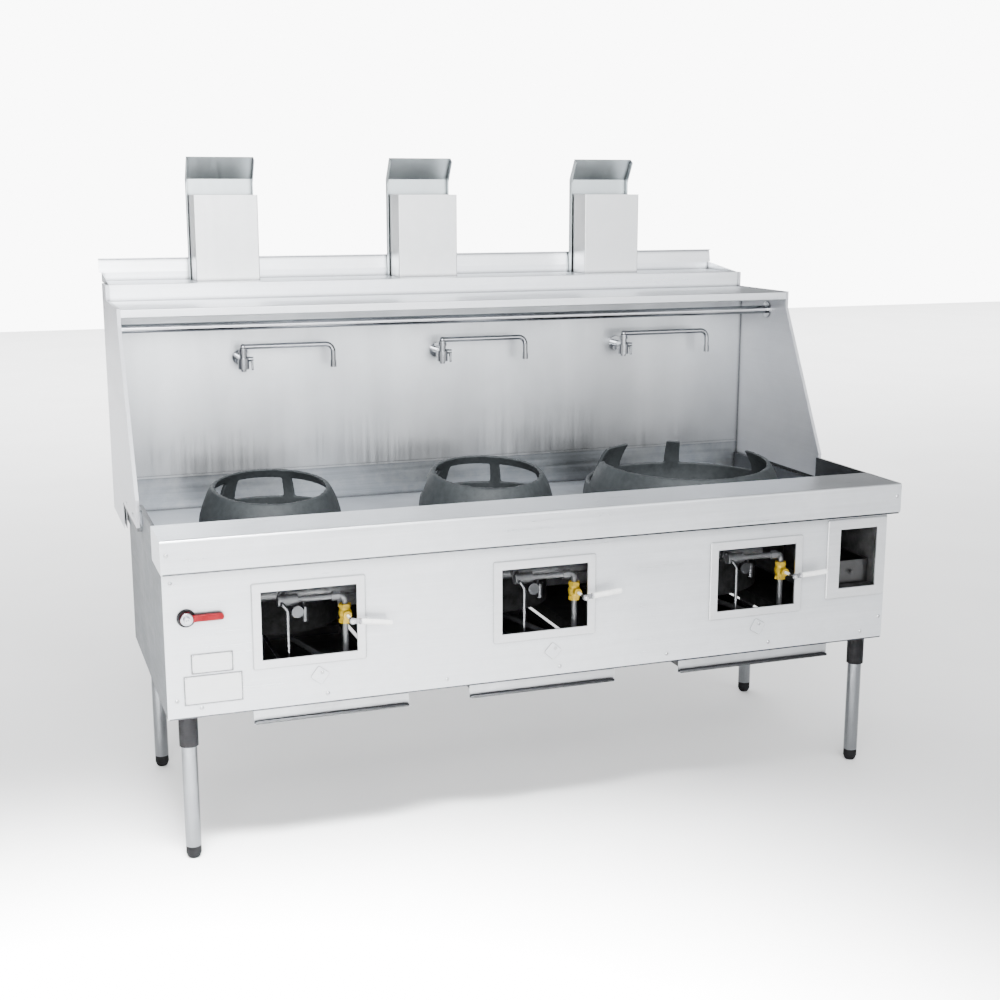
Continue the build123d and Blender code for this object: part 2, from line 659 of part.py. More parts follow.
def splash_guard():
    """The left guard: an outer and an inner skin joined by a rim, open along its bottom."""
    inside = offset(guard_face(2 * SHEET), amount=-SHEET, kind=Kind.INTERSECTION)
    guard = Pos(-HALF, 0, 0) * extrude(guard_face(0), amount=GUARD_THICK)
    return guard - Pos(SHEET - HALF, 0, 0) * extrude(inside, amount=GUARD_THICK - 2 * SHEET)


def canopy_ledge():
    front = PANEL_Y + LEDGE_FRONT
    points = [
        (front + 4 * SHEET, LEDGE_TOP - LEDGE_FACE),
        (front, LEDGE_TOP - LEDGE_FACE),
        (front, LEDGE_TOP),
        (PANEL_Y + SHELF_FRONT + SHEET, LEDGE_TOP),
    ]
    return folded(points, -INNER, INNER, LEDGE_BEND)


def duct_end(x):
    top = SHELF_TOP - SHEET
    points = [
        (SPLASH_Y + SHEET, DUCT_BOTTOM),
        (PANEL_Y + DUCT_BACK, DUCT_BOTTOM),
        (PANEL_Y + DUCT_BACK, top),
        (PANEL_Y + SHELF_FRONT + SHEET, top),
        (PANEL_Y + SHELF_FRONT + SHEET, LEDGE_TOP - SHEET),
        (SPLASH_Y + SHEET, LEDGE_TOP - SHEET),
    ]
    return side_plate(points, x)


def flue_duct():
    """The box behind the backsplash that gathers the three flues."""
    half = INNER - DUCT_INSET
    deep = (SPLASH_Y + SHEET, PANEL_Y + DUCT_BACK)
    duct = block((-half, half), deep, (DUCT_BOTTOM, DUCT_BOTTOM + SHEET))
    duct += block((-half, half), (deep[1] - SHEET, deep[1]), (DUCT_BOTTOM, SHELF_TOP - SHEET))
    duct += duct_end(-half) + duct_end(half - SHEET)
    inside = LINK_WIDTH / 2 - SHEET
    for x in BAY_X:
        rise = (deep[1] - SHEET - LINK_RISE_DEPTH + SHEET, deep[1] - 2 * SHEET)
        duct -= block((x - inside, x + inside), rise, (DUCT_BOTTOM, DUCT_BOTTOM + SHEET))
    return duct


def shelf_tray():
    front = PANEL_Y + SHELF_FRONT
    back = PANEL_Y + SHELF_BACK
    tray = block((-INNER, INNER), (front, back), (SHELF_TOP - SHEET, SHELF_TOP))
    tray += block((-INNER, INNER), (front, front + SHEET), (LEDGE_TOP, SHELF_TOP))
    lip_half = HALF - LIP_INSET
    tray += block((-INNER, INNER), (back - SHEET, back), (SHELF_TOP - SHEET, LIP_CREASE))
    lip = [
        (back - SHEET, LIP_CREASE),
        (back, LIP_CREASE),
        (back + LIP_LEAN, LIP_TOP),
        (back + LIP_LEAN - LIP_HEM, LIP_TOP),
        (back + LIP_LEAN - LIP_HEM, LIP_TOP - SHEET),
        (back + LIP_LEAN - SHEET, LIP_TOP - SHEET),
    ]
    tray += side_plate(lip, -lip_half, 2 * lip_half)
    end = [(front + SHEET, SHELF_TOP), (back - SHEET, SHELF_TOP), (back - SHEET, LIP_CREASE)]
    for x in (-INNER, INNER - SHEET):
        tray += side_plate(end, x)
    inside = RISER_WIDTH / 2 - SHEET
    for x in BAY_X:
        mouth = (PANEL_Y + RISER_FRONT + SHEET, PANEL_Y + DUCT_BACK - SHEET)
        tray -= block((x - inside, x + inside), mouth, (SHELF_TOP - SHEET, SHELF_TOP))
    return tray


def flue_riser(x):
    outer = (PANEL_Y + RISER_FRONT, PANEL_Y + RISER_BACK)
    half = RISER_WIDTH / 2
    tube = block((x - half, x + half), outer, (SHELF_TOP, RISER_TOP))
    tube = fillet(tube.edges().filter_by(Axis.Z), 1.5 * SHEET)
    inner = (outer[0] + SHEET, outer[1] - SHEET)
    return tube - block((x - half + SHEET, x + half - SHEET), inner, (SHELF_TOP, RISER_TOP))


def flue_deflector(x):
    """The plate behind a riser, with side flanges and a hood tilted forward."""
    face = PANEL_Y + RISER_BACK
    half = RISER_WIDTH / 2 + DEFLECTOR_GAP + SHEET
    tip = (face - HOOD_REACH, HOOD_TOP)
    bend = (face, HOOD_BEND)
    slant = hypot(HOOD_REACH, HOOD_TOP - HOOD_BEND)
    down = (-(HOOD_TOP - HOOD_BEND) / slant * DEFLECTOR_FLANGE, -HOOD_REACH / slant * DEFLECTOR_FLANGE)
    plate = folded([(face, SHELF_TOP), bend, tip], x - half, x + half, 1.5 * SHEET, side=Side.RIGHT)
    flange = [
        (face, SHELF_TOP),
        bend,
        tip,
        (tip[0] + down[0], tip[1] + down[1]),
        (face - DEFLECTOR_FLANGE, HOOD_BEND - DEFLECTOR_FLANGE / 2),
        (face - DEFLECTOR_FLANGE, SHELF_TOP),
    ]
    for side in (x - half, x + half - SHEET):
        plate += side_plate(flange, side)
    return plate


def ladle_rail():
    """The pipe under the ledge, with a round flange at each end."""
    y = PANEL_Y + LADLE_Y
    end = INNER - LADLE_FLANGE
    tube = rod((-end, y, LADLE_Z), (end, y, LADLE_Z), LADLE_R, LADLE_R - LADLE_WALL)
    flange = rod((-INNER, y, LADLE_Z), (-end, y, LADLE_Z), LADLE_FLANGE_R)
    return tube, flange, mirrored(flange)


# ---- Cooking bays ----
def sector(radius, start, stop, height):
    """A cutting wedge about a vertical axis, between two angles in degrees."""
    reach = radius / cos(radians((stop - start) / 2))
    corners = [(0, 0)]
    corners += [(reach * cos(radians(a)), reach * sin(radians(a))) for a in (start, stop)]
    return extrude(make_face(Polyline(*corners, close=True)), amount=height)


def tilted_cut(centre_height, rise, mouth, size):
    """Everything above the mouth's plane, which climbs towards the rear."""
    tilt = degrees(atan2(rise, 2 * mouth))
    slab = Box(3 * size, 3 * size, size, align=(MID, MID, UP))
    return Pos(0, 0, centre_height) * Rot(tilt, 0, 0) * slab


def ring_shell(base, mouth, shoulder, crown):
    """The cast dome of a wok ring, before its mouth and windows are cut."""
    top = RING_FRONT + crown
    middle = RING_SHOULDER_HEIGHT
    outer = [(base, 0), (base - shoulder, middle), (mouth + SHEET, top)]
    inner = [(base - RING_FOOT_WALL, 0), (base - shoulder - RING_WALL, middle), (mouth - RING_WALL, top)]
    outline = ThreePointArc(*outer) + Line(outer[2], inner[2])
    outline += ThreePointArc(*reversed(inner)) + Line(inner[0], outer[0])
    return revolve(Plane.XZ * make_face(outline), axis=Axis.Z)


def wok_ring(x, base, mouth, shoulder, crown, rise, banded):
    """A ring with rear windows under a band, or with its rear wall cut down to lugs."""
    shell = ring_shell(base, mouth, shoulder, crown)
    middle = RING_FRONT + rise / 2
    shell -= tilted_cut(middle, rise, mouth, base)
    if banded:
        windows = ((8, 57), (67, 113), (129, 172))
        above = tilted_cut(middle - RING_BAND, rise, mouth, base)
    else:
        windows = ((12, 65), (75, 108), (133, 172))
        above = None
    for start, stop in windows:
        wedge = Pos(0, 0, RING_SILL) * sector(1.1 * base, start, stop, RING_FRONT)
        if above is not None:
            wedge -= above
        shell -= wedge
    return Pos(x, PANEL_Y + RING_CENTRE, DECK_TOP + SEAT_GAP) * shell


def combustion_chamber(x, radius):
    """The bucket under a ring, hung from the deck, with a hole for the burner's feed."""
    centre = (x, PANEL_Y + RING_CENTRE)
    height = DECK_BOTTOM - CHAMBER_BOTTOM
    shell = Pos(*centre, CHAMBER_BOTTOM) * Cylinder(radius + CHAMBER_WALL, height, align=(MID, MID, UP))
    hollow = Cylinder(radius, height - CHAMBER_WALL, align=(MID, MID, UP))
    shell -= Pos(*centre, CHAMBER_BOTTOM + CHAMBER_WALL) * hollow
    shell -= rod((*centre, CHAMBER_BOTTOM), (*centre, CHAMBER_BOTTOM + CHAMBER_WALL), BRANCH_PIPE_R)
    half = LINK_WIDTH / 2 - SHEET
    rear = (centre[1], centre[1] + radius + 3 * CHAMBER_WALL)
    flue = (LINK_BOTTOM + SHEET, LINK_BOTTOM + LINK_HEIGHT - SHEET)
    return shell - block((x - half, x + half), rear, flue)


def burner(x):
    """A round burner head with a ring of jets, seated on the chamber's floor."""
    y = PANEL_Y + RING_CENTRE
    floor = CHAMBER_BOTTOM + CHAMBER_WALL
    head = rod((x, y, floor), (x, y, floor + BURNER_HEIGHT), BURNER_R)
    head = fillet(head.edges().group_by(Axis.Z)[-1], BURNER_BEND)
    top = floor + BURNER_HEIGHT
    for step in range(TIP_COUNT):
        turn = radians(360 / TIP_COUNT * step)
        tip_x = x + TIP_RING_R * cos(turn)
        tip_y = y + TIP_RING_R * sin(turn)
        head += rod((tip_x, tip_y, top - SEAT_GAP), (tip_x, tip_y, top + TIP_HEIGHT), TIP_R)
    return head + rod((x, y, top - SEAT_GAP), (x, y, top + TIP_HEIGHT), 2 * TIP_R)


def flue_link(x, radius):
    """The square duct from a chamber out through the rear panel and up into the flue duct."""
    half = LINK_WIDTH / 2
    wall = radius + CHAMBER_WALL
    centre = PANEL_Y + RING_CENTRE
    start = centre + sqrt(wall ** 2 - half ** 2) - SHEET
    end = PANEL_Y + DUCT_BACK - SHEET
    top = LINK_BOTTOM + LINK_HEIGHT
    run = block((x - half, x + half), (start, end), (LINK_BOTTOM, top))
    rise = block((x - half, x + half), (end - LINK_RISE_DEPTH, end), (top, DUCT_BOTTOM))
    inner = half - SHEET
    run_hole = block((x - inner, x + inner), (start, end - SHEET), (LINK_BOTTOM + SHEET, top - SHEET))
    rise_hole = block(
        (x - inner, x + inner),
        (end - LINK_RISE_DEPTH + SHEET, end - SHEET),
        (top - SHEET, DUCT_BOTTOM),
    )
    chamber = rod((x, centre, LINK_BOTTOM), (x, centre, top), wall)
    return run + rise - run_hole - rise_hole - chamber


# ---- Gas train ----
def gas_manifold():
    """The supply pipe: in through the rear panel on the left, then across behind the windows."""
    y = PANEL_Y + MANIFOLD_Y
    thread = PANEL_Y + BODY_DEPTH + INLET_REACH - INLET_END
    bore = MANIFOLD_R - MANIFOLD_WALL
    end = BAY_X[-1] + MANIFOLD_OVERRUN
    route = [(MANIFOLD_X, thread, BRANCH_Z), (MANIFOLD_X, y, BRANCH_Z), (end, y, BRANCH_Z)]
    supply = pipe(route, MANIFOLD_R, 2.5 * MANIFOLD_R, bore)
    supply += rod(route[0], (MANIFOLD_X, thread + INLET_END, BRANCH_Z), GAS_END_R, bore)
    supply += rod(route[2], (end + CAP_LENGTH, y, BRANCH_Z), MANIFOLD_R)
    for x in BAY_X:
        root = (x + TEE_X, y - MANIFOLD_R + SHEET, BRANCH_Z)
        supply += rod(root, (x + TEE_X, y - MANIFOLD_R - OUTLET_LENGTH, BRANCH_Z), FITTING_R)
    return supply


def gas_branch(x):
    """From the manifold's outlet to the union, the elbow and the top of the valve."""
    y = PANEL_Y + PIPE_Y
    outlet_y = PANEL_Y + MANIFOLD_Y - MANIFOLD_R - OUTLET_LENGTH
    tee = x + TEE_X
    branch = rod((tee, outlet_y, BRANCH_Z), (tee, y, BRANCH_Z), BRANCH_PIPE_R)
    branch += rod((tee - TEE_HALF, y, BRANCH_Z), (tee + TEE_HALF, y, BRANCH_Z), FITTING_R)
    valve_top = VALVE_Z + VALVE_HEIGHT / 2
    route = [(tee, y, BRANCH_Z), (x + VALVE_X, y, BRANCH_Z), (x + VALVE_X, y, valve_top)]
    branch += pipe(route, BRANCH_PIPE_R, 1.6 * BRANCH_PIPE_R)
    union = extrude(RegularPolygon(UNION_R, 6), amount=UNION_LENGTH / 2, both=True)
    return branch + Pos(x + VALVE_X - UNION_GAP, y, BRANCH_Z) * Rot(0, 90, 0) * union


def gas_valve(x):
    """A quarter-turn valve body with a bonnet that takes the lever's stem."""
    y = PANEL_Y + PIPE_Y
    centre = x + VALVE_X
    low = VALVE_Z - VALVE_HEIGHT / 2
    high = VALVE_Z + VALVE_HEIGHT / 2
    body = rod((centre, y, low), (centre, y, high), VALVE_R * 0.8)
    body += Pos(centre, y, VALVE_Z) * Sphere(VALVE_R)
    for z in (low, high - VALVE_NUT):
        body += Pos(centre, y, z) * extrude(RegularPolygon(VALVE_R * 0.95, 6), amount=VALVE_NUT)
    body += rod((centre, y, VALVE_Z), (centre, PANEL_Y + BONNET_FRONT, VALVE_Z), BONNET_R)
    stem_end = (centre, y - VALVE_R / 2, VALVE_Z)
    return body - rod((centre, PANEL_Y + BONNET_FRONT, VALVE_Z), stem_end, STEM_R + RUN_CLEARANCE)


def gas_lever(x, tilt):
    """The valve's stem, hub and flat arm, with a round-ended grip."""
    hub_y = PANEL_Y - LEVER_Y
    stem_end = PANEL_Y + PIPE_Y - VALVE_R / 2 - SEAT_GAP
    stem = rod((0, hub_y, 0), (0, stem_end, 0), STEM_R)
    hub = rod((0, hub_y - HUB_FRONT, 0), (0, hub_y + LEVER_THICK, 0), LEVER_WIDTH / 2 + HUB_MARGIN)
    arm_y = (hub_y, hub_y + LEVER_THICK)
    arm = block((0, LEVER_ARM), arm_y, (-LEVER_WIDTH / 2, LEVER_WIDTH / 2))
    grip_y = hub_y + LEVER_THICK / 2
    grip = rod((LEVER_ARM - SHEET, grip_y, 0), (LEVER_ARM - SHEET + GRIP_LENGTH, grip_y, 0), GRIP_R)
    grip = fillet(grip.edges(), GRIP_R * 0.45)
    return Pos(x + VALVE_X, 0, VALVE_Z) * Rot(0, tilt, 0) * (stem + hub + arm + grip)


def burner_feed(x):
    """From under the valve back below the chamber and up into its floor."""
    front = PANEL_Y + PIPE_Y
    centre = PANEL_Y + RING_CENTRE
    route = [
        (x + VALVE_X, front, VALVE_Z - VALVE_HEIGHT / 2),
        (x + VALVE_X, front, FEED_Z),
        (x, centre, FEED_Z),
        (x, centre, CHAMBER_BOTTOM + CHAMBER_WALL),
    ]
    return pipe(route, BRANCH_PIPE_R, 2.2 * BRANCH_PIPE_R)


def branch_bar(x):
    """The space that a branch pipe and its tee take up, to shape what sits against them."""
    y = PANEL_Y + PIPE_Y
    tee = x + TEE_X
    bar = rod((tee, y, BRANCH_Z), (x + VALVE_X - NOTCH_LENGTH, y, BRANCH_Z), BRANCH_PIPE_R)
    return bar + rod((tee - TEE_HALF, y, BRANCH_Z), (tee + TEE_HALF, y, BRANCH_Z), FITTING_R)


def pilot_valve(x):
    """The small valve behind the window that feeds the pilot tube."""
    y = PANEL_Y + PILOT_Y
    centre = x + PILOT_VALVE_X
    knob = x + PILOT_KNOB_X
    z = PILOT_VALVE_Z
    hanger_y = PANEL_Y + PIPE_Y
    fitting = rod((centre, y, z - PILOT_VALVE_DOWN), (centre, y, z + PILOT_VALVE_UP), PILOT_VALVE_R)
    fitting += rod((knob, y, z), (centre, y, z), PILOT_ARM_R)
    fitting += rod((knob, y - PILOT_KNOB_FRONT, z), (knob, y + PILOT_KNOB_BACK, z), PILOT_KNOB_R)
    fitting += rod((centre, y, z), (centre, hanger_y, z), PILOT_NECK_R)
    fitting += rod((centre, hanger_y, z - PILOT_VALVE_R), (centre, hanger_y, BRANCH_Z), PILOT_HANGER_R)
    return fitting - branch_bar(x)


def pilot_tube(x):
    """The thin bent tube from the tee down and back to the burner."""
    y = PANEL_Y + PILOT_Y
    tee_x = x + TEE_X - TEE_HALF + 2 * PILOT_R
    deep = PANEL_Y + RING_CENTRE - CHAMBER_R[0] / 3
    route = [
        (tee_x, PANEL_Y + PIPE_Y, BRANCH_Z - PILOT_R),
        (tee_x, y, BRANCH_Z - PILOT_R),
        (x + PILOT_X, y, BRANCH_Z - 5 * PILOT_R),
        (x + PILOT_X, y, CHAMBER_BOTTOM - PILOT_DROP),
        (x + PILOT_X, deep, CHAMBER_BOTTOM - PILOT_DROP),
        (x + PILOT_X, deep, CHAMBER_BOTTOM),
    ]
    return pipe(route, PILOT_R, 1.3 * PILOT_R) - branch_bar(x)


# ---- Panel fittings ----
def port_cover(x, z, tilt):
    """A small plate that swings on its screw, over the lighting port."""
    half = COVER_SIZE / 2
    plate = block((-half, half), (-COVER_THICK, 0), (-COVER_SIZE * 0.78, COVER_SIZE * 0.22))
    plate = fillet(plate.edges().filter_by(Axis.Y), COVER_CORNER)
    plate -= rod((0, -COVER_THICK, 0), (0, 0, 0), PIVOT_R + RUN_CLEARANCE)
    return Pos(x, PANEL_Y - SEAT_GAP, z) * Rot(0, tilt, 0) * plate


def port_screw(x, z, tilt):
    head = PANEL_Y - 2 * SEAT_GAP - COVER_THICK
    shank = rod((x, PANEL_Y, z), (x, head, z), PIVOT_R)
    return shank + rod((x, head, z), (x, head - SCREW_HEAD, z), SCREW_R)


def screw_head(x, y, z, direction):
    """A domed screw head that faces along the given direction."""
    run = Vector(*direction) * SCREW_HEAD
    end = (x + run.X, y + run.Y, z + run.Z)
    head = rod((x, y, z), end, SCREW_R)
    outer = head.edges().filter_by(GeomType.CIRCLE).sort_by_distance(Vector(*end))[0]
    return fillet(outer, SCREW_HEAD * 0.6)


def screw_places():
    """The (x, z) of each screw in the front panel."""
    row = BODY_BOTTOM + SCREW_ROW_RISE
    places = [(SCREW_FIRST - BODY + step * SCREW_STEP, row) for step in range(6)]
    places.append((BODY - SCREW_LAST, row))
    places.append((LEFT_SCREW_HIGH[0] - BODY, RAIL_TOP - LEFT_SCREW_HIGH[1]))
    places.append((LEFT_SCREW_LOW[0] - BODY, BODY_BOTTOM + LEFT_SCREW_LOW[1]))
    places.append((BODY - RIGHT_SCREW_LOW[0], BODY_BOTTOM + RIGHT_SCREW_LOW[1]))
    return places


def panel_screws():
    front = (0, -1, 0)
    screws = [screw_head(x, PANEL_Y, z, front) for x, z in screw_places()]
    guard_z = RAIL_TOP - GUARD_SCREW_DROP
    for side in (-1, 1):
        rail_x = side * (RAIL_HALF - RAIL_SCREW_INSET)
        screws.append(screw_head(rail_x, PANEL_Y - RAIL_PROUD, RAIL_TOP - RAIL_SCREW_DROP, front))
        for back in GUARD_SCREW_BACK:
            screws.append(screw_head(side * HALF, PANEL_Y + GUARD_FOOT_FRONT + back, guard_z, (side, 0, 0)))
    screws += [port_screw(*place) for place in port_places()]
    return screws


def label_plates():
    plates = []
    for right, up, width, height in PLATES:
        x = right - BODY
        z = BODY_BOTTOM + up
        across = (PANEL_Y - PLATE_THICK, PANEL_Y)
        plate = block((x - width / 2, x + width / 2), across, (z - height / 2, z + height / 2))
        plates.append(fillet(plate.edges().filter_by(Axis.Y), PLATE_CORNER))
    return plates


def main_valve_body():
    """The water valve behind the panel, its two ports vertical, its bonnet through the panel."""
    y = PANEL_Y + MAIN_Y
    low = MAIN_Z - MAIN_BODY_HALF
    high = MAIN_Z + MAIN_BODY_HALF
    body = rod((MAIN_X, y, low), (MAIN_X, y, high), MAIN_BODY_R * 0.8)
    body += Pos(MAIN_X, y, MAIN_Z) * Sphere(MAIN_BODY_R)
    for z in (low, high - MAIN_NUT):
        body += Pos(MAIN_X, y, z) * extrude(RegularPolygon(MAIN_BODY_R, 6), amount=MAIN_NUT)
    body += rod((MAIN_X, y, MAIN_Z), (MAIN_X, PANEL_Y + SHEET, MAIN_Z), MAIN_BONNET_R)
    bore_end = (MAIN_X, y - MAIN_BODY_R / 2, MAIN_Z)
    return body - rod((MAIN_X, PANEL_Y + SHEET, MAIN_Z), bore_end, MAIN_STEM_R + RUN_CLEARANCE)


def main_valve_lever():
    """A round chrome hub with a flat lever."""
    y = PANEL_Y - PANEL_GAP
    stem_end = PANEL_Y + MAIN_Y - MAIN_BODY_R / 2 - SEAT_GAP
    lever = rod((MAIN_X, y, MAIN_Z), (MAIN_X, stem_end, MAIN_Z), MAIN_STEM_R)
    face = y - MAIN_HUB_LENGTH
    hub = rod((MAIN_X, y, MAIN_Z), (MAIN_X, face, MAIN_Z), MAIN_HUB_R)
    hub = fillet(hub.edges(), 1.5 * SHEET)
    lever += hub + rod((MAIN_X, face, MAIN_Z), (MAIN_X, face - MAIN_CAP_LENGTH, MAIN_Z), MAIN_HUB_R * 0.5)
    half = MAIN_LEVER_WIDTH / 2
    middle = y - MAIN_HUB_LENGTH * 0.6
    across = (middle - MAIN_LEVER_THICK / 2, middle + MAIN_LEVER_THICK / 2)
    arm = block((MAIN_X + MAIN_HUB_R / 2, MAIN_X + MAIN_LEVER_LENGTH), across, (MAIN_Z - half, MAIN_Z + half))
    ends = arm.faces().sort_by(Axis.X)[-1].edges().filter_by(Axis.Y)
    return lever + fillet(ends, half * 0.7)


def water_pipes():
    """The inlet run from the rear to the valve, and the run from the valve to the deck."""
    y = PANEL_Y + MAIN_Y
    thread = PANEL_Y + BODY_DEPTH + INLET_REACH - INLET_END
    low = MAIN_Z - MAIN_BODY_HALF
    route = [(MAIN_X, thread, WATER_Z), (MAIN_X, y, WATER_Z), (MAIN_X, y, low)]
    inlet = pipe(route, WATER_R, WATER_BEND, WATER_BORE)
    inlet += rod((MAIN_X, thread, WATER_Z), (MAIN_X, thread + INLET_END, WATER_Z), WATER_END_R, WATER_BORE)
    deck_y = PANEL_Y + BODY_DEPTH - WATER_BACK
    over = [
        (MAIN_X, y, MAIN_Z + MAIN_BODY_HALF),
        (MAIN_X, y, WATER_OVER_Z),
        (MAIN_X, deck_y, WATER_OVER_Z),
        (MAIN_X, deck_y, DECK_BOTTOM),
    ]
    return inlet, pipe(over, WATER_R, WATER_TURN)


# ---- Faucets ----
def faucet_places():
    for x, shift in zip(BAY_X, FAUCET_X):
        yield x + shift, SPLASH_Y - FAUCET_PROUD


def faucet_body(x, y):
    """Wall flange, arm and upright body, with bores for the spout and the handle."""
    low = FAUCET_Z - FAUCET_BODY
    shoulder = low + FAUCET_BASE
    body = rod((x, y, low), (x, y, FAUCET_Z), FAUCET_NECK_R)
    body += rod((x, y, low), (x, y, shoulder), FAUCET_BASE_R)
    body += rod((x, y, FAUCET_Z - SPOUT_NUT), (x, y, FAUCET_Z), FAUCET_R)
    body += rod((x, SPLASH_Y, HANDLE_Z), (x, SPLASH_Y - FAUCET_FLANGE, HANDLE_Z), FAUCET_FLANGE_R)
    body += rod((x, SPLASH_Y - FAUCET_FLANGE, HANDLE_Z), (x, y, HANDLE_Z), FAUCET_R * 0.8)
    body += rod((x, y, HANDLE_Z), (x + FAUCET_BASE_R + HANDLE_BONNET, y, HANDLE_Z), HANDLE_BONNET_R)
    body += rod((x, y, low - FAUCET_FOOT), (x, y, low), FAUCET_R * 0.6)
    body -= rod((x, y, FAUCET_Z), (x, y, FAUCET_Z - SPOUT_STEM), SPOUT_STEM_R + RUN_CLEARANCE)
    bonnet = (x + FAUCET_BASE_R + HANDLE_BONNET, y, HANDLE_Z)
    return body - rod(bonnet, (x + HANDLE_BONNET, y, HANDLE_Z), HANDLE_STEM_R + RUN_CLEARANCE)


def swing_spout(x, y, reach):
    """The stem, nut and the pipe that reaches out and turns down to its aerator."""
    base = FAUCET_Z + SEAT_GAP
    arm_z = base + SPOUT_NUT + SPOUT_R / 2
    spout = rod((x, y, FAUCET_Z - SPOUT_STEM + SEAT_GAP), (x, y, base), SPOUT_STEM_R)
    spout += rod((x, y, base), (x, y, base + SPOUT_NUT), SPOUT_NUT_R)
    spout += rod((x, y, base + SPOUT_NUT), (x, y, arm_z), SPOUT_R)
    spout += Pos(x, y, arm_z) * Sphere(1.15 * SPOUT_R)
    tip = (x + reach, y, arm_z - SPOUT_DROP)
    spout += pipe([(x, y, arm_z), (x + reach, y, arm_z), tip], SPOUT_R, SPOUT_BEND)
    aerator = rod((tip[0], y, tip[2] + SPOUT_R), (tip[0], y, tip[2] + SPOUT_R - AERATOR), AERATOR_R)
    return spout + aerator - rod((tip[0], y, tip[2]), (tip[0], y, tip[2] - AERATOR), AERATOR_BORE)


def faucet_handle(x, y):
    """A short stem with a blade that hangs down beside the body."""
    hub_x = x + FAUCET_BASE_R + HANDLE_BONNET + SEAT_GAP
    hub_end = hub_x + HANDLE_HUB
    handle = rod((x + HANDLE_BONNET + SEAT_GAP, y, HANDLE_Z), (hub_x, y, HANDLE_Z), HANDLE_STEM_R)
    handle += rod((hub_x, y, HANDLE_Z), (hub_end, y, HANDLE_Z), HANDLE_HUB_R)
    across = (y - HANDLE_WIDTH / 2, y + HANDLE_WIDTH / 2)
    blade = block((hub_end - HANDLE_THICK, hub_end), across, (HANDLE_Z - HANDLE_LENGTH, HANDLE_Z))
    return handle + fillet(blade.edges().filter_by(Axis.X), HANDLE_WIDTH * 0.35)


# ---- Drain ----
def drain_box():
    """The box under the pit, open to the front and to the pit, with its outlet."""
    x = (DRAIN_LEFT - DRAIN_BOX_MARGIN, DRAIN_RIGHT + DRAIN_BOX_MARGIN)
    y = (PANEL_Y + SHEET, PANEL_Y + SHEET + DRAIN_BOX_DEPTH)
    floor = DRAIN_BOTTOM - SHEET
    box = block(x, y, (floor, DECK_BOTTOM))
    box -= block((x[0] + SHEET, x[1] - SHEET), (y[0], y[1] - SHEET), (DRAIN_BOTTOM, DECK_BOTTOM))
    centre = ((x[0] + x[1]) / 2, (y[0] + y[1]) / 2)
    bottom = floor - DRAIN_OUTLET_LENGTH
    box += rod((*centre, bottom), (*centre, floor), DRAIN_OUTLET_R, DRAIN_OUTLET_R - SHEET)
    return box - rod((*centre, floor), (*centre, DRAIN_BOTTOM), DRAIN_OUTLET_R - SHEET)


def drain_tray():
    """A pull-out strainer tray that rests on the drain box's floor, level with the opening."""
    x = (DRAIN_LEFT + DRAIN_TRAY_CLEAR, DRAIN_RIGHT - DRAIN_TRAY_CLEAR)
    y = (PANEL_Y + DRAIN_TRAY_RECESS, PANEL_Y + DRAIN_BOX_DEPTH - DRAIN_TRAY_END)
    low = DRAIN_BOTTOM + SEAT_GAP
    floor = low + DRAIN_TRAY_FOOT
    tray = block(x, y, (floor, floor + DRAIN_TRAY_HEIGHT))
    inner_x = (x[0] + SHEET, x[1] - SHEET)
    inner_y = (y[0] + SHEET, y[1] - SHEET)
    tray -= block(inner_x, inner_y, (floor + SHEET, floor + DRAIN_TRAY_HEIGHT))
    for row in range(5):
        for column in range(3):
            hole_x = x[0] + (x[1] - x[0]) * (column + 1) / 4
            hole_y = y[0] + (y[1] - y[0]) * (row + 1) / 6
            tray -= rod((hole_x, hole_y, floor), (hole_x, hole_y, floor + SHEET), STRAINER_R)
    for foot_x in (x[0] + 2 * DRAIN_TRAY_FOOT, x[1] - 2 * DRAIN_TRAY_FOOT):
        across = (foot_x - STRAINER_R, foot_x + STRAINER_R)
        tray += block(across, (y[0] + 2 * DRAIN_TRAY_FOOT, y[1] - 2 * DRAIN_TRAY_FOOT), (low, floor))
    knob = ((x[0] + x[1]) / 2, y[0], floor + DRAIN_TRAY_HEIGHT / 2)
    return tray + rod(knob, (knob[0], knob[1] - TRAY_KNOB, knob[2]), TRAY_KNOB_R)


# ---- Drip trays ----
def drip_tray(x, width):
    """A shallow pan with a front plate and side flanges that ride on the runners."""
    half = width / 2
    wall = half - TRAY_FRONT_INSET - RUNNER_FOOT
    shelf = BODY_BOTTOM - RUNNER_DROP + SHEET + SEAT_GAP
    deep = (PANEL_Y + SHEET, PANEL_Y + SHEET + TRAY_DEPTH)
    pan = block((x - wall, x + wall), deep, (TRAY_BOTTOM, shelf + SHEET))
    inside = wall - SHEET
    pan -= block((x - inside, x + inside), (deep[0], deep[1] - SHEET), (TRAY_BOTTOM + SHEET, shelf + SHEET))
    for edge in ((x - wall - TRAY_FLANGE, x - wall), (x + wall, x + wall + TRAY_FLANGE)):
        pan += block(edge, deep, (shelf, shelf + SHEET))
    front = block((x - half, x + half), (PANEL_Y, PANEL_Y + SHEET), (TRAY_BOTTOM, BODY_BOTTOM - TRAY_TOP_GAP))
    hem = (PANEL_Y - TRAY_HEM, PANEL_Y + SHEET)
    return pan + front + block((x - half, x + half), hem, (TRAY_BOTTOM, TRAY_BOTTOM + SHEET))


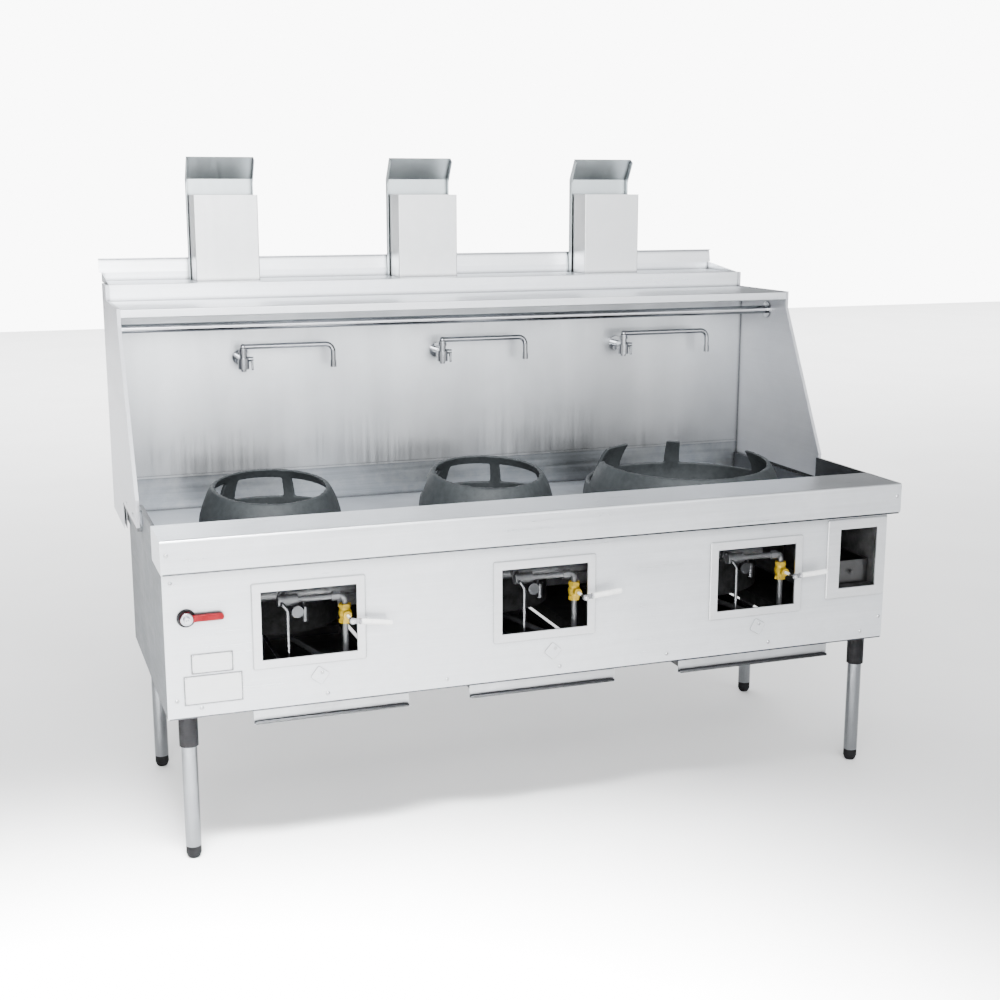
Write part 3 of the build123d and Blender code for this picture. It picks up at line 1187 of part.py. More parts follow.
def tray_runners():
    """Two angles for each tray, hung under the base frame."""
    runners = []
    y = (PANEL_Y + 2 * SHEET, PANEL_Y + BODY_DEPTH - 2 * SHEET)
    for x, width in zip(TRAY_X, TRAY_WIDTH):
        wall = width / 2 - TRAY_FRONT_INSET - RUNNER_FOOT
        for side in (-1, 1):
            web_x = wall + TRAY_FLANGE + RUNNER_GAP
            web = sorted((x + side * web_x, x + side * (web_x + SHEET)))
            foot = sorted((x + side * (wall + RUNNER_GAP), x + side * web_x))
            low = BODY_BOTTOM - RUNNER_DROP
            runners.append(block(web, y, (low, BODY_BOTTOM)) + block(foot, y, (low, low + SHEET)))
    return runners


# ---- Write every node ----
def main():
    os.makedirs("parts", exist_ok=True)
    save("base_frame", *base_frame())
    save("leg_sockets", *(leg_socket(x, y) for x, y in leg_places()))
    save("legs", *(leg(x, y) for x, y in leg_places()))
    corners = ("front_left", "front_right", "rear_left", "rear_right")
    for corner, (x, y) in zip(corners, leg_places()):
        save(f"foot_{corner}", foot(x, y))

    save("front_panel", front_panel())
    save("panel_frames", *panel_frames())
    save("left_side_panel", side_panel())
    save("right_side_panel", mirrored(side_panel()))
    save("rear_panel", rear_panel())
    save("front_rail", front_rail())
    save("cook_deck", cook_deck())

    save("lower_splash", splash_sheet(DECK_TOP, SEAM_HEIGHT))
    save("backsplash", backsplash())
    save("left_splash_guard", splash_guard())
    save("right_splash_guard", mirrored(splash_guard()))
    save("canopy_ledge", canopy_ledge())
    save("flue_duct", flue_duct())
    save("shelf_tray", shelf_tray())
    save("flue_risers", *(flue_riser(x) for x in BAY_X))
    save("flue_deflectors", *(flue_deflector(x) for x in BAY_X))
    save("ladle_rail", *ladle_rail())

    for number, sizes in enumerate(BAYS, 1):
        save(f"wok_ring_{number}", wok_ring(*sizes, banded=number < 3))
    save("combustion_chambers", *(combustion_chamber(x, r) for x, r in zip(BAY_X, CHAMBER_R)))
    save("burners", *(burner(x) for x in BAY_X))
    save("flue_links", *(flue_link(x, r) for x, r in zip(BAY_X, CHAMBER_R)))

    save("gas_manifold", gas_manifold())
    save("gas_branches", *(gas_branch(x) for x in BAY_X))
    save("gas_valves", *(gas_valve(x) for x in BAY_X))
    save("burner_feeds", *(burner_feed(x) for x in BAY_X))
    save("pilot_valves", *(pilot_valve(x) for x in BAY_X))
    save("pilot_tubes", *(pilot_tube(x) for x in BAY_X))
    for number, (x, tilt) in enumerate(zip(BAY_X, LEVER_TILT), 1):
        save(f"gas_lever_{number}", gas_lever(x, tilt))

    save("panel_screws", *panel_screws())
    for number, place in enumerate(port_places(), 1):
        save(f"port_cover_{number}", port_cover(*place))
    save("label_plates", *label_plates())
    save("main_valve_body", main_valve_body())
    save("main_valve_lever", main_valve_lever())
    save("water_pipes", *water_pipes())

    save("faucet_bodies", *(faucet_body(x, y) for x, y in faucet_places()))
    for number, ((x, y), reach) in enumerate(zip(faucet_places(), SPOUT_REACH), 1):
        save(f"swing_spout_{number}", swing_spout(x, y, reach))
        save(f"faucet_handle_{number}", faucet_handle(x, y))

    save("drain_box", drain_box())
    save("drain_tray", drain_tray())
    for number, (x, width) in enumerate(zip(TRAY_X, TRAY_WIDTH), 1):
        save(f"drip_tray_{number}", drip_tray(x, width))
    save("tray_runners", *tray_runners())


main()
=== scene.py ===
import json
from math import cos, pi, radians, sin, tau

import bmesh
import bpy
from mathutils import Matrix, Vector


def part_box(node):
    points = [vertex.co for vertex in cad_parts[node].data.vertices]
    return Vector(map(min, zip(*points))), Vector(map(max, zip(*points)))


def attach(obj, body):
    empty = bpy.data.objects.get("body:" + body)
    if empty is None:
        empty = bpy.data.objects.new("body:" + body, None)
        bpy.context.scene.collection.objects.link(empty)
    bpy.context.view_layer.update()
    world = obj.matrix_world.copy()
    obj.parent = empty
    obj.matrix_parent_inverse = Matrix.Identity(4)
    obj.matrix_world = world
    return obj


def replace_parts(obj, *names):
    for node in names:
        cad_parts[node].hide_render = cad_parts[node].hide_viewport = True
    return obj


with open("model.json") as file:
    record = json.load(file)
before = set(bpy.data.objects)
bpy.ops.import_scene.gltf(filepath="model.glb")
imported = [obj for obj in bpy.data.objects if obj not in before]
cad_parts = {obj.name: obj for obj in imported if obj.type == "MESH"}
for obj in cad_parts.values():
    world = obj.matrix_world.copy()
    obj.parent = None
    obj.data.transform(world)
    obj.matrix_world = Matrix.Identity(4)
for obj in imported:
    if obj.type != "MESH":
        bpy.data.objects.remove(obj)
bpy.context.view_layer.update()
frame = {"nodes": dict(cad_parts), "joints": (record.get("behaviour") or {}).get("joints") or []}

NODES = frame["nodes"]
JOINTS = {joint["name"]: joint for joint in frame["joints"]}
RANGE = "range"                 # the body that carries everything fixed
BAYS = (1, 2, 3)
X_AXIS, Y_AXIS = Vector((1, 0, 0)), Vector((0, 1, 0))
SMOOTH_ANGLE = 32               # degrees: sharper folds keep a hard edge

# ---- Places, read from the frame (metres) ----
PANEL_LOW, PANEL_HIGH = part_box("front_panel")
PANEL_Y = PANEL_LOW.y
DECK_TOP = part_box("lower_splash")[0].z
SPLASH_LOW, SPLASH_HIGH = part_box("backsplash")
SPOT_INSET = 0.02               # how much narrower than the ring its mark is
RING_SPOTS = []                 # each ring's middle on the deck, and the radius of its mark
for bay in BAYS:
    ring_low, ring_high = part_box(f"wok_ring_{bay}")
    spot = Vector(((ring_low.x + ring_high.x) / 2, (ring_low.y + ring_high.y) / 2, DECK_TOP))
    RING_SPOTS.append((spot, (ring_high.x - ring_low.x) / 2 - SPOT_INSET))

# ---- The parts of a noise's range that hold most of it ----
WIDE_SPAN, NARROW_SPAN = (0.3, 0.7), (0.35, 0.65)

# ---- Stains, dirt and wear, darker tones, and painted shade and highlight ----
SOIL = (0.50, 0.50, 0.49)
SPLASH_FOOT_DARK = (0.22, 0.23, 0.245)
SPLASH_BAND_DARK = (0.30, 0.31, 0.32)
SMOKE = (0.20, 0.20, 0.205)
TRAY_SHADE = (0.035, 0.034, 0.033)
WORN_AND_HIGHLIT_IRON = (0.13, 0.14, 0.145)
# The seam colour below darkens folds, laps and edges: painted shade.
SEAM_SHADE_COLOR = (0.045, 0.046, 0.048)
SEAM_REACH = 0.013              # how far from a seam its painted shade spreads
PANEL_SEAM_REACH = 0.045        # the painted shade under the rail reaches further
SEAM_SAMPLES = 6
SEAM_SPAN = (0.45, 0.95)        # of the occlusion: all of the painted shade, none of it
SEAM_SHADE_DEPTH, DECK_SEAM_SHADE_DEPTH = 0.85, 0.8
SOIL_SPAN, SOIL_DEPTH = (0.20, 0.36), 0.25
# Drip trays are painted near-black behind their fronts: painted shade inside the cabinet.
TRAY_SHADE_EDGE, TRAY_SHADE_DEPTH = 0.02, 0.94
WEAR_AND_HIGHLIGHT_SPAN, WEAR_AND_HIGHLIGHT_DEPTH = (0.52, 0.60), 0.5   # of a cast edge's pointiness, where rubbed wear and a painted highlight lighten it

# ---- The brushing of stainless steel ----
GRAIN_FINE = 900.0              # scratches per metre, across the grain
GRAIN_LONG = 5.0                # and along it
STREAK_ACROSS = 90.0
STREAK_LONG = GRAIN_LONG * 0.4
SCRATCH_BUMP = (0.10, 0.0002)   # strength, distance
GRAIN_SHARE = 0.30              # of the tone, for the scratches and for the streaks


# ---- Node helpers ----
class Shader:
    """A material under construction, with short ways to add and link nodes."""

    def __init__(self, name):
        self.material = bpy.data.materials.new(name)
        self.material.use_nodes = True
        self.tree = self.material.node_tree
        self.surface = self.tree.nodes["Principled BSDF"]
        self.place = self.node("ShaderNodeTexCoord").outputs["Object"]

    def node(self, kind, **settings):
        made = self.tree.nodes.new(kind)
        for name, value in settings.items():
            setattr(made, name, value)
        return made

    def link(self, source, target):
        self.tree.links.new(source, target)

    def feed(self, socket, value):
        """Links an output, or sets a plain value or colour."""
        if isinstance(value, bpy.types.NodeSocket):
            self.link(value, socket)
        else:
            socket.default_value = (*value, 1.0) if isinstance(value, tuple) else value

    def stretched(self, scale):
        mapping = self.node("ShaderNodeMapping")
        mapping.inputs["Scale"].default_value = scale
        self.link(self.place, mapping.inputs["Vector"])
        return mapping.outputs["Vector"]

    def noise(self, scale, detail, vector=None, roughness=0.5, distortion=0.0):
        made = self.node("ShaderNodeTexNoise")
        self.link(vector or self.place, made.inputs["Vector"])
        made.inputs["Scale"].default_value = scale
        made.inputs["Detail"].default_value = detail
        made.inputs["Roughness"].default_value = roughness
        made.inputs["Distortion"].default_value = distortion
        return made.outputs["Fac"]

    def math(self, operation, first, second=0.0):
        made = self.node("ShaderNodeMath", operation=operation)
        self.feed(made.inputs[0], first)
        self.feed(made.inputs[1], second)
        return made.outputs[0]

    def plus(self, value, other, share):
        """A value with a share of another one added."""
        return self.math("ADD", value, self.math("MULTIPLY", other, share))

    def blend(self, first, first_share, second, second_share):
        return self.plus(self.math("MULTIPLY", first, first_share), second, second_share)

    def distance(self, point):
        made = self.node("ShaderNodeVectorMath", operation="DISTANCE")
        self.link(self.place, made.inputs[0])
        made.inputs[1].default_value = point
        return made.outputs["Value"]

    def axis(self, name):
        split = self.node("ShaderNodeSeparateXYZ")
        self.link(self.place, split.inputs[0])
        return split.outputs[name]

    def spread(self, value, low, high, to_low=0.0, to_high=1.0):
        """Maps low..high to to_low..to_high, and holds the ends beyond them."""
        made = self.node("ShaderNodeMapRange")
        self.feed(made.inputs["Value"], value)
        limits = {"From Min": low, "From Max": high, "To Min": to_low, "To Max": to_high}
        for name, number in limits.items():
            made.inputs[name].default_value = number
        return made.outputs["Result"]

    def mix(self, factor, first, second, blend="MIX"):
        made = self.node("ShaderNodeMix", data_type="RGBA", blend_type=blend)
        self.feed(made.inputs[0], factor)
        self.feed(made.inputs[6], first)
        self.feed(made.inputs[7], second)
        return made.outputs[2]

    def bump(self, height, strength, distance, under=None):
        made = self.node("ShaderNodeBump")
        made.inputs["Strength"].default_value = strength
        made.inputs["Distance"].default_value = distance
        self.link(height, made.inputs["Height"])
        if under:
            self.link(under, made.inputs["Normal"])
        return made.outputs["Normal"]

    def seam_shade(self, color, depth, reach=SEAM_REACH):
        """Painted shade where surfaces meet: folds, laps and the edges of things screwed on."""
        near = self.node("ShaderNodeAmbientOcclusion", samples=SEAM_SAMPLES)
        near.inputs["Distance"].default_value = reach
        painted_shade = self.spread(near.outputs["AO"], *SEAM_SPAN, depth, 0.0)
        return self.mix(painted_shade, color, SEAM_SHADE_COLOR)

    def finish(self, color, roughness, normal=None, metallic=1.0, shine=None):
        """Feeds the surface. shine is its specular level, where it isn't the usual one."""
        self.feed(self.surface.inputs["Base Color"], color)
        self.feed(self.surface.inputs["Roughness"], roughness)
        self.feed(self.surface.inputs["Metallic"], metallic)
        if normal:
            self.link(normal, self.surface.inputs["Normal"])
        if shine is not None:
            self.surface.inputs["Specular IOR Level"].default_value = shine
        return self.material


# ---- Materials ----
# In each maker light and dark are the two colours that it mottles between, and rough is the
# least and the greatest roughness.
def brushed(name, light, dark, grain, rough=(0.27, 0.40), smudge=0.5, wave=0.0015, streaks=1.0,
            fade=None, shade_beyond=None, reach=SEAM_REACH, metallic=1.0, shine=None):
    """Satin stainless. grain is the axis that the brushing runs along.

    wave is how far the sheet is out of flat, and streaks how much the brushing shows.
    fade is (low z, high z, how dark at the low one), on the backsplash only.
    shade_beyond is the y beyond which a tray is painted near-black: painted shade inside the
    cabinet.
    """
    s = Shader(name)
    fine_scale = tuple(GRAIN_LONG if axis == grain else GRAIN_FINE for axis in "XYZ")
    streak_scale = tuple(STREAK_LONG if axis == grain else STREAK_ACROSS for axis in "XYZ")
    fine = s.noise(1.0, 2, s.stretched(fine_scale))
    streak = s.noise(1.0, 3, s.stretched(streak_scale))
    cloud = s.noise(3.2, 5, roughness=0.6, distortion=0.6)
    spots = s.noise(26.0, 6, roughness=0.7)
    share = GRAIN_SHARE * streaks
    tone = s.plus(s.blend(fine, share, streak, share), cloud, 1.0 - 2 * share)
    color = s.mix(s.spread(tone, 0.38, 0.62), dark, light)
    soil = s.spread(s.math("MULTIPLY", cloud, spots), *SOIL_SPAN)
    color = s.mix(s.math("MULTIPLY", soil, smudge * SOIL_DEPTH), color, SOIL)
    if fade:
        color = splash_darkening(s, color, cloud, *fade)
    if shade_beyond:
        # Painted shade: the tray is near-black behind its front.
        behind = s.plus(s.axis("Y"), cloud, TRAY_SHADE_EDGE)
        burnt = s.spread(behind, shade_beyond, shade_beyond + TRAY_SHADE_EDGE, 0.0, TRAY_SHADE_DEPTH)
        color = s.mix(burnt, color, TRAY_SHADE)
    color = s.seam_shade(color, SEAM_SHADE_DEPTH, reach)
    gloss = s.spread(s.blend(streak, 0.5, cloud, 0.5), *NARROW_SPAN, *rough)
    normal = s.bump(fine, *SCRATCH_BUMP)
    normal = s.bump(s.noise(2.3, 1), 1.0, wave, normal)
    return s.finish(color, gloss, normal, metallic, shine)


SMOKE_RISE = 0.10               # the smoke's middle lies this far above the deck
SMOKE_START, SMOKE_END = -0.02, 0.28        # from the ring's mark
SMOKE_DEPTH, SMOKE_DRIFT = 0.34, 0.16
BAND_SCALE = (5.0, 5.0, 0.7)
BAND_SHIFT = 0.09               # how far the bands raise and lower the dark foot
BAND_SPAN, BAND_DEPTH = (0.35, 0.60), 0.10


def splash_darkening(s, color, cloud, low, high, most):
    """The backsplash is dark toward the deck, in uneven bands, and smoky behind each ring."""
    bands = s.noise(1.0, 3, s.stretched(BAND_SCALE), distortion=0.4)
    level = s.math("ADD", s.axis("Z"), s.spread(bands, *NARROW_SPAN, -BAND_SHIFT, BAND_SHIFT))
    # Darker toward the deck, in uneven bands.
    color = s.mix(s.spread(level, low, high, most, 0.0), color, SPLASH_FOOT_DARK)
    color = s.mix(s.spread(bands, *BAND_SPAN, BAND_DEPTH, 0.0), color, SPLASH_BAND_DARK)
    for center, radius in RING_SPOTS:
        middle = (center.x, SPLASH_LOW.y, center.z + SMOKE_RISE)
        away = s.plus(s.distance(middle), cloud, SMOKE_DRIFT)
        smoke = s.spread(away, radius + SMOKE_START, radius + SMOKE_END, SMOKE_DEPTH, 0.0)
        color = s.mix(smoke, color, SMOKE)
    return color


HEAT_WIDTH = 0.16               # heat stains the deck this far outside a ring's mark
HEAT_DEPTH, HEAT_DRIFT = 0.8, 0.08
# How dark the painted shade at the deck's side walls is.
WALL_SHADE_DEPTH = 0.92


def deck_steel(name, light, dark, burnt, wall_shade, wall_x):
    """Stainless that heat has stained round the rings, with painted shade darkening it at the side
    walls.
    """
    s = Shader(name)
    cloud = s.noise(5.0, 6, roughness=0.65, distortion=0.8)
    fine = s.noise(1.0, 2, s.stretched((GRAIN_LONG, GRAIN_FINE, GRAIN_FINE)))
    color = s.mix(s.spread(s.blend(fine, 0.3, cloud, 0.7), *NARROW_SPAN), dark, light)
    for center, radius in RING_SPOTS:
        away = s.plus(s.distance(center), cloud, HEAT_DRIFT)
        heat = s.spread(away, radius, radius + HEAT_WIDTH, HEAT_DEPTH, 0.0)
        color = s.mix(heat, color, burnt)
    # Painted shade: near-black beside the deck's side walls.
    beside = s.math("GREATER_THAN", s.math("ABSOLUTE", s.axis("X")), wall_x)
    color = s.mix(s.math("MULTIPLY", beside, WALL_SHADE_DEPTH), color, wall_shade)
    color = s.seam_shade(color, DECK_SEAM_SHADE_DEPTH)
    return s.finish(color, s.spread(cloud, *WIDE_SPAN, 0.32, 0.52), s.bump(fine, *SCRATCH_BUMP))


def dull_metal(name, light, dark):
    """Galvanised sheet, with its mottled surface."""
    s = Shader(name)
    cells = s.node("ShaderNodeTexVoronoi", feature="F1")
    s.link(s.place, cells.inputs["Vector"])
    cells.inputs["Scale"].default_value = 56.0
    flake = s.node("ShaderNodeSeparateColor")
    s.link(cells.outputs["Color"], flake.inputs[0])
    cloud = s.noise(5.6, 5, roughness=0.65)
    tone = s.blend(flake.outputs[0], 0.35, cloud, 0.65)
    color = s.mix(s.spread(tone, 0.25, 0.75), dark, light)
    gloss = s.spread(tone, 0.2, 0.8, 0.42, 0.62)
    return s.finish(color, gloss, s.bump(s.noise(160.0, 3), 0.15, 0.0004), metallic=0.9)


def cast_iron(name, light, dark):
    """Sand-cast iron, grey-green where it is rubbed: that lighter edge is rubbed wear and a
    painted highlight.
    """
    s = Shader(name)
    grit = s.noise(420.0, 4, roughness=0.7)
    lumps = s.noise(60.0, 4, roughness=0.6)
    cloud = s.noise(9.0, 4, roughness=0.6)
    edge = s.node("ShaderNodeNewGeometry").outputs["Pointiness"]
    tone = s.spread(s.blend(cloud, 0.6, lumps, 0.4), *NARROW_SPAN)
    color = s.mix(tone, dark, light)
    # Lighter on sharp edges: rubbed wear and a painted highlight.
    color = s.mix(s.spread(edge, *WEAR_AND_HIGHLIGHT_SPAN, 0.0, WEAR_AND_HIGHLIGHT_DEPTH), color, WORN_AND_HIGHLIT_IRON)
    gloss = s.spread(cloud, *WIDE_SPAN, 0.52, 0.68)
    normal = s.bump(lumps, 0.35, 0.0012)
    normal = s.bump(grit, 0.30, 0.0004, normal)
    return s.finish(color, gloss, normal, metallic=0.25)


CLOUD_TINT = 0.90


def polished(name, tint, rough):
    """Smooth plated or turned metal, a little darker in its clouds."""
    s = Shader(name)
    cloud = s.noise(45.0, 4, roughness=0.6)
    color = s.mix(s.spread(cloud, *WIDE_SPAN), tuple(v * CLOUD_TINT for v in tint), tint)
    normal = s.bump(s.noise(120.0, 2), 0.04, 0.0003)
    return s.finish(color, s.spread(cloud, *WIDE_SPAN, *rough), normal)


def drawn_tube(name, light, dark, along):
    """Bright steel tube with fine lines along it."""
    s = Shader(name)
    lines = s.noise(1.0, 3, s.stretched(tuple(12.0 if axis == along else 350.0 for axis in "XYZ")))
    cloud = s.noise(18.0, 4)
    color = s.mix(s.spread(s.math("ADD", lines, cloud), 0.7, 1.3), dark, light)
    return s.finish(color, s.spread(cloud, *WIDE_SPAN, 0.12, 0.20), s.bump(lines, 0.02, 0.0001))


def painted(name, light, dark, rough=(0.35, 0.5), metallic=0.0, shine=0.5):
    """Paint, soot and other surfaces that are matt and a little uneven."""
    s = Shader(name)
    cloud = s.noise(30.0, 5, roughness=0.65)
    color = s.mix(s.spread(cloud, *NARROW_SPAN), dark, light)
    normal = s.bump(s.noise(240.0, 3), 0.12, 0.0003)
    return s.finish(color, s.spread(cloud, *WIDE_SPAN, *rough), normal, metallic, shine)


def two_tone(name, within, beyond, center, near, shine=0.4):
    """One finish within a distance of a point, another beyond it."""
    s = Shader(name)
    far = s.math("GREATER_THAN", s.distance(center), near)
    cloud = s.noise(60.0, 4)
    wear = s.spread(cloud, *WIDE_SPAN, 0.93, 1.0)
    color = s.mix(far, within["color"], beyond["color"])
    shade = s.node("ShaderNodeCombineColor")
    for socket in shade.inputs[:3]:
        s.link(wear, socket)
    color = s.mix(1.0, color, shade.outputs[0], "MULTIPLY")

    def by_place(key):
        return s.math("ADD", s.math("MULTIPLY", far, beyond[key] - within[key]), within[key])

    rough = s.math("ADD", by_place("rough"), s.spread(cloud, *WIDE_SPAN, -0.04, 0.06))
    metallic = by_place("metallic")
    normal = s.bump(s.noise(300.0, 2), 0.06, 0.0002)
    return s.finish(color, rough, normal, metallic, shine)


TRAY_LIP = 0.010                # a tray's front, which the painted shade leaves bright
WALL_STRIP = 0.045              # the width of the painted shade strip at the deck's side walls
FADE_PAST, FADE_DEPTH = 0.05, 0.55          # the backsplash's fade runs past both of its ends

steel_x = brushed("steel_across", (0.84, 0.86, 0.89), (0.74, 0.76, 0.79), "X")
tray_steel = brushed("steel_tray", (0.80, 0.82, 0.85), (0.68, 0.70, 0.73), "X",
                     shade_beyond=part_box("drip_tray_1")[0].y + TRAY_LIP)
panel_steel = brushed("steel_panel", (0.84, 0.86, 0.89), (0.75, 0.77, 0.80), "X",
                      reach=PANEL_SEAM_REACH)
frame_steel = brushed("frame_steel", (0.80, 0.81, 0.83), (0.70, 0.71, 0.73), "X",
                      rough=(0.30, 0.44))
# The side panels are a near-black copy of the stainless: painted shade.
shaded_side_steel = brushed("steel_side_shaded", (0.17, 0.182, 0.195), (0.12, 0.128, 0.137), "Y",
                     rough=(0.40, 0.54), streaks=0.6, metallic=0.15, shine=0.03)
guard_steel = brushed("steel_guard", (0.60, 0.61, 0.64), (0.50, 0.51, 0.54), "Y",
                      rough=(0.34, 0.48), streaks=0.6, metallic=0.75, shine=0.2)
splash_steel = brushed("steel_splash", (0.76, 0.78, 0.80), (0.68, 0.70, 0.72), "Z",
                       rough=(0.30, 0.44), streaks=0.45,
                       fade=(SPLASH_LOW.z - FADE_PAST, SPLASH_HIGH.z + FADE_PAST, FADE_DEPTH))
riser_steel = brushed("steel_riser", (0.80, 0.81, 0.82), (0.73, 0.74, 0.75), "Z",
                      rough=(0.36, 0.50), streaks=0.4)
hood_steel = brushed("steel_hood", (0.66, 0.72, 0.74), (0.58, 0.63, 0.65), "Z",
                     rough=(0.36, 0.50), streaks=0.4)
low_steel = brushed("steel_low", (0.30, 0.32, 0.345), (0.22, 0.235, 0.25), "X",
                    rough=(0.32, 0.46), smudge=1.0)
# Near-black: the painted shadow lines of the rolled edges.
shadow_hem_steel = polished("shadow_hem_steel", (0.050, 0.052, 0.055), (0.35, 0.5))
deck_metal = deck_steel("deck_steel", (0.64, 0.66, 0.69), (0.50, 0.52, 0.55), (0.16, 0.15, 0.14),
                        (0.05, 0.052, 0.056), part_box("cook_deck")[1].x - WALL_STRIP)
galvanised = dull_metal("galvanised", (0.62, 0.64, 0.66), (0.46, 0.48, 0.50))
sooty = painted("sooty", (0.030, 0.030, 0.031), (0.012, 0.012, 0.012),
                rough=(0.6, 0.85), shine=0.03)
iron = cast_iron("cast_iron", (0.052, 0.060, 0.064), (0.026, 0.031, 0.034))
chrome = polished("chrome", (0.46, 0.47, 0.49), (0.08, 0.16))
dull_chrome = polished("dull_chrome", (0.030, 0.031, 0.033), (0.30, 0.45))
pilot_steel = polished("pilot_steel", (0.09, 0.092, 0.096), (0.25, 0.40))
brass = painted("brass", (0.30, 0.20, 0.010), (0.22, 0.145, 0.008),
                rough=(0.32, 0.44), metallic=0.25, shine=0.25)
leg_tube = drawn_tube("leg_tube", (0.19, 0.198, 0.208), (0.15, 0.157, 0.165), "Z")
rail_tube = drawn_tube("rail_tube", (0.60, 0.61, 0.63), (0.52, 0.53, 0.55), "X")
dark_paint = painted("dark_paint", (0.012, 0.012, 0.013), (0.006, 0.006, 0.0065),
                     rough=(0.42, 0.58), shine=0.04)
pipe_grey = painted("pipe_grey", (0.055, 0.057, 0.060), (0.028, 0.029, 0.031), metallic=0.3)
plate_metal = brushed("plate_metal", (0.86, 0.87, 0.88), (0.78, 0.79, 0.80), "X",
                      rough=(0.35, 0.5), wave=0.0004)
bright_screw = polished("bright_screw", (0.62, 0.62, 0.64), (0.2, 0.35))


def each(stem):
    """The names of the pieces that every bay has one of."""
    return [f"{stem}_{bay}" for bay in BAYS]


FINISHES = {
    panel_steel: ["front_panel"],
    steel_x: ["front_rail", *each("port_cover"), "shelf_tray", "canopy_ledge"],
    tray_steel: [*each("drip_tray"), "drain_tray"],
    frame_steel: ["panel_frames"],
    shaded_side_steel: ["left_side_panel", "right_side_panel"],
    guard_steel: ["left_splash_guard", "right_splash_guard"],
    splash_steel: ["backsplash"],
    riser_steel: ["flue_risers"],
    hood_steel: ["flue_deflectors"],
    low_steel: ["lower_splash"],
    deck_metal: ["cook_deck"],
    galvanised: ["flue_duct", "flue_links", "rear_panel"],
    sooty: ["combustion_chambers", "base_frame", "drain_box", "tray_runners"],
    iron: [*each("wok_ring"), "burners"],
    chrome: [*each("swing_spout"), "faucet_bodies", *each("faucet_handle"), "water_pipes"],
    dull_chrome: ["pilot_valves"],
    brass: ["gas_valves", "main_valve_body"],
    leg_tube: ["legs"],
    pilot_steel: ["pilot_tubes"],
    rail_tube: ["ladle_rail"],
    dark_paint: ["leg_sockets", "foot_front_left", "foot_front_right", "foot_rear_left",
                 "foot_rear_right"],
    pipe_grey: ["gas_manifold", "gas_branches", "burner_feeds"],
    plate_metal: ["label_plates"],
    bright_screw: ["panel_screws"],
}


def give(obj, material):
    obj.data.materials.clear()
    obj.data.materials.append(material)


for finish, names in FINISHES.items():
    for name in names:
        give(NODES[name], finish)

# The levers: one finish at the hub, another from the place where the grip begins.
METAL_HUB = {"color": (0.20, 0.205, 0.215), "rough": 0.32, "metallic": 1.0}
WHITE_GRIP = {"color": (0.80, 0.80, 0.79), "rough": 0.30, "metallic": 0.0}
RED_LEVER = {"color": (0.085, 0.0006, 0.003), "rough": 0.50, "metallic": 0.0}
CHROME_HUB = {"color": (0.30, 0.31, 0.33), "rough": 0.16, "metallic": 1.0}
GRIP_START = 0.024
RED_START = 0.0175
RED_SHINE = 0.05
HUBS = {bay: Vector(JOINTS[f"gas_lever_{bay}_turn"]["pos_m"]) for bay in BAYS}
for bay, hub in HUBS.items():
    lever_finish = two_tone(f"lever_{bay}", METAL_HUB, WHITE_GRIP, hub, GRIP_START)
    give(NODES[f"gas_lever_{bay}"], lever_finish)
MAIN_HUB = Vector(JOINTS["main_valve_turn"]["pos_m"])
give(NODES["main_valve_lever"],
     two_tone("main_lever", CHROME_HUB, RED_LEVER, MAIN_HUB, RED_START, RED_SHINE))


# ---- Smoothing of the CAD nodes ----
def smoothing_group(angle):
    """A modifier's nodes: smooth shading, kept sharp where faces meet at more than the angle."""
    group = bpy.data.node_groups.new("smooth_by_angle", "GeometryNodeTree")
    for side in ("INPUT", "OUTPUT"):
        group.interface.new_socket("Geometry", in_out=side, socket_type="NodeSocketGeometry")
    enter, leave = group.nodes.new("NodeGroupInput"), group.nodes.new("NodeGroupOutput")
    bend = group.nodes.new("GeometryNodeInputMeshEdgeAngle")
    gentle = group.nodes.new("FunctionNodeCompare")
    gentle.data_type = "FLOAT"
    gentle.operation = "LESS_THAN"
    gentle.inputs["B"].default_value = radians(angle)
    edges = group.nodes.new("GeometryNodeSetShadeSmooth")
    edges.domain = "EDGE"
    faces = group.nodes.new("GeometryNodeSetShadeSmooth")
    group.links.new(bend.outputs["Unsigned Angle"], gentle.inputs["A"])
    group.links.new(gentle.outputs["Result"], edges.inputs["Shade Smooth"])
    group.links.new(enter.outputs[0], edges.inputs["Geometry"])
    group.links.new(edges.outputs[0], faces.inputs["Geometry"])
    group.links.new(faces.outputs[0], leave.inputs[0])
    return group


SMOOTHING = smoothing_group(SMOOTH_ANGLE)
RINGS = each("wok_ring")
for name, node in NODES.items():
    if name not in RINGS:
        node.modifiers.new("smoothing", "NODES").node_group = SMOOTHING

# Cast rings: the sharp edges of the solid are rounded as a casting's are.
CAST_VOXEL = 0.0030
CAST_SOFTENING, CAST_ROUNDS = 0.5, 6
for name in RINGS:
    remesh = NODES[name].modifiers.new("cast", "REMESH")
    remesh.mode = "VOXEL"
    remesh.voxel_size = CAST_VOXEL
    remesh.use_smooth_shade = True
    soften = NODES[name].modifiers.new("soften", "SMOOTH")
    soften.factor = CAST_SOFTENING
    soften.iterations = CAST_ROUNDS


# ---- Makers of mesh pieces ----
STEPS = 48                      # round a turned piece
BAR_SIDES = 12                  # round a rolled edge


def bridge(mesh, loops, count):
    """Faces between neighbouring loops of count vertices. A loop of one vertex is a pole."""
    for first, second in zip(loops, loops[1:]):
        for step in range(count):
            after = (step + 1) % count
            if len(first) == 1:
                mesh.faces.new((first[0], second[step], second[after]))
            elif len(second) == 1:
                mesh.faces.new((first[step], second[0], first[after]))
            else:
                mesh.faces.new((first[step], second[step], second[after], first[after]))


